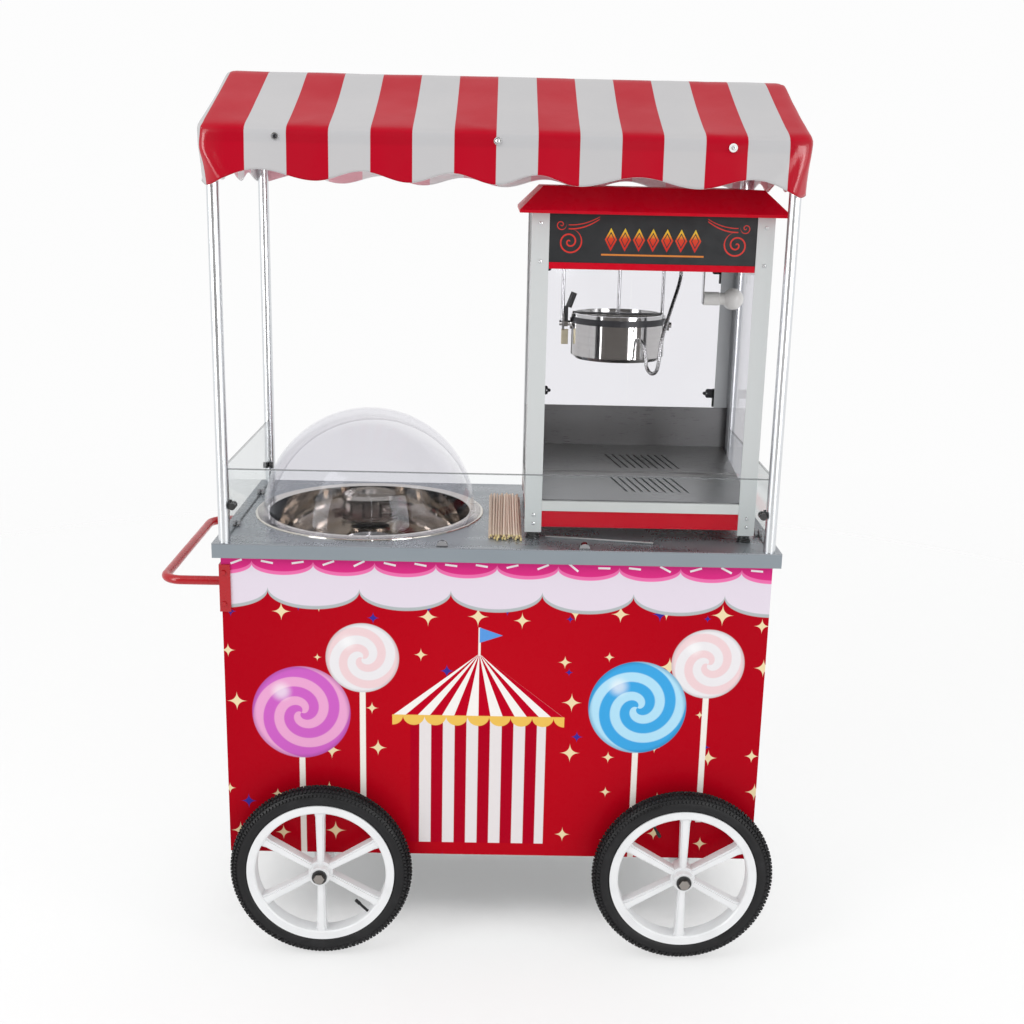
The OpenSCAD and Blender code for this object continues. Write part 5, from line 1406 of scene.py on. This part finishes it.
def tube(route, radius, sides, reference):
    """Rings along a route, and how far along it each point lies."""
    points, along, gone = [], [], 0.0
    for i, spot in enumerate(route):
        way = route[min(i + 1, len(route) - 1)] - route[max(i - 1, 0)]
        way /= np.linalg.norm(way)
        u = np.cross(way, reference)
        u /= np.linalg.norm(u)
        v = np.cross(way, u)
        gone += float(np.linalg.norm(spot - route[i - 1])) if i else 0.0
        for k in range(sides):
            a = 2 * math.pi * k / sides
            points.append(spot + radius * (math.cos(a) * u + math.sin(a) * v))
            along.append(gone)
    return *capped(points, ring_faces(len(route), sides), sides), along


hose_metal = worked_metal("hose_metal", (0.50, 0.50, 0.50), 0.24, (6, 6, 6), 30, 0.08, 0.12, 0.05)
ribs = hose_metal.sum("SINE", hose_metal.kept("along") * (2 * math.pi / HOSE_RIB))
hose_metal.bump(ribs, 0.25, 0.0006)
hose_points, hose_faces, hose_along = tube(route, HOSE_R, 14, HOSE_SIDE)
hose = new_piece("conduit_hose", hose_points, hose_faces, hose_metal.mat, True)
keep(hose, "along", hose_along)
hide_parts("kettle_conduit")
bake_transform(hose)
print("conduit rings", len(route))

# %% [markdown]
# Fasteners are what tells a sheet metal cart from a moulded toy. Pan head screws with a cross slot hold
# the canopy, the corner angles and the hinges; washers spread the load on the vinyl; hexagon heads hold
# the handle brackets.

# %% Heads and washers
HEADS = {
    "pan": (16, [(1, 0), (1, 0.45), (0.86, 0.8), (0.55, 1), (0.30, 1), (0.22, 0.62)]),
    "hex": (6, [(1, 0), (1, 0.85), (0.9, 1)]),
}


def head(kind, radius, height):
    """A head from a profile in shares of its radius and height."""
    sides, profile = HEADS[kind]
    return capped(*lathe([(radius * r, height * h) for r, h in profile], sides), sides)


def washer(radius, bore, height):
    rim = [(radius, 0.0), (radius, height * 0.7), (radius * 0.94, height)]
    return lathe([(bore, 0.0), *rim, (bore, height), (bore, 0.0)], 20)


screw_steel = moulded("screw_steel", (0.66, 0.67, 0.68), 0.25, 300, 0.05, 1.0)
screw_dark = moulded("screw_dark", (0.05, 0.05, 0.055), 0.35, 300, 0.05, 0.8)
washer_white = moulded("washer_white", (0.78, 0.79, 0.78), 0.4)
print("fastener finishes", screw_steel.mat.name, screw_dark.mat.name, washer_white.mat.name)

# %% [markdown]
# The canopy's screws sit on the cloth, so their seats are looked up on its front face. One has a dark head
# and one a white washer. The other fasteners sit on flat sheet.

# %% Screws and bolts


def cloth_face_y(a, z):
    """Front face of the cloth near a point of the front valance."""
    near = np.linalg.norm(cloth[:, [0, 2]] - np.array((a, z)), axis=1) + (cloth[:, 1] > -0.25)
    return float(cloth[int(near.argmin()), 1])


def in_front(seat, by):
    return seat[0], seat[1] - by, seat[2]


def hinge_spots(centre, half, y, zs):
    """Three screws on each hinge leaf, left and right."""
    leaf = ((0.0165, 0.0114), (0.0165, -0.0114), (0.0240, 0.0))
    return [(centre + way * (half + dx), y, z + dz) for way in (-1, 1) for z in zs for dx, dz in leaf]


seats = [(a + MID, cloth_face_y(a, z) - 0.0002, z) for a, z in SCREWS]
steel_spots = [in_front(seat, 0.0012) for seat in seats[1:]]
angle_xs = (POP[0] - 0.232, POP[0] + 0.232)
angle_spots = [(x, -0.2200, z) for x in angle_xs for z in (0.985, 1.004, 1.545, 1.622)]
handle_front, handle_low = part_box("push_handle")[0][1:]
bolt_zs = (handle_low + 0.018, handle_low + 0.088)
front_spots = [(-0.533, handle_front, z) for z in bolt_zs]
end_spots = [(-0.543, y, z) for y in (-0.222, 0.222) for z in bolt_zs]
rear_spots = hinge_spots(MID, 0.540, 0.2850, (0.500, 0.772))
rear_spots += hinge_spots(POP[0], 0.214, 0.1980, (1.199, 1.497))
FASTENERS = [
    ("canopy_washers", washer(0.0075, 0.002, 0.0012), seats[:2], "-Y", screw_steel),
    ("canopy_washer_white", washer(0.0085, 0.002, 0.0014), seats[2:], "-Y", washer_white),
    ("canopy_screw_dark", head("pan", 0.0048, 0.0030), [in_front(seats[0], 0.0011)], "-Y", screw_dark),
    ("canopy_screws", head("pan", 0.0045, 0.0030), steel_spots, "-Y", screw_steel),
    ("angle_screws", head("pan", 0.0038, 0.0022), angle_spots, "-Y", screw_steel),
    ("bracket_bolts_front", head("hex", 0.0055, 0.0040), front_spots, "-Y", handle_coat),
    ("bracket_bolts_end", head("hex", 0.0055, 0.0040), end_spots, "-X", handle_coat),
    ("hinge_screws", head("pan", 0.0026, 0.0014), rear_spots, "+Y", screw_steel),
]
for name, shape, places, facing, finish in FASTENERS:
    made = repeat(name, shape, places, [FACE[facing]] * len(places), finish)
    settle(made, "cart", "red_paint" if finish is handle_coat else "clip_metal")
print("fasteners", sum(len(places) for name, shape, places, facing, finish in FASTENERS))

# %% [markdown]
# A stamped brass tag hangs under the left pivot plate of the kettle. It is a small plate like the sign, in
# another metal.

# %% Kettle tag
brass = worked_metal("tag_brass", (0.66, 0.60, 0.44), 0.34, (1, 1, 30), 12)
tag_low = (KETTLE[0] - 0.1275, -0.0250, PIVOT_Z - 0.046)
tag_high = (KETTLE[0] - 0.1120, -0.0235, PIVOT_Z - 0.012)
tag = plate("kettle_tag", tag_low, tag_high, brass)
settle(tag, "cart", "rod_chrome")
print("tag", tag.name)
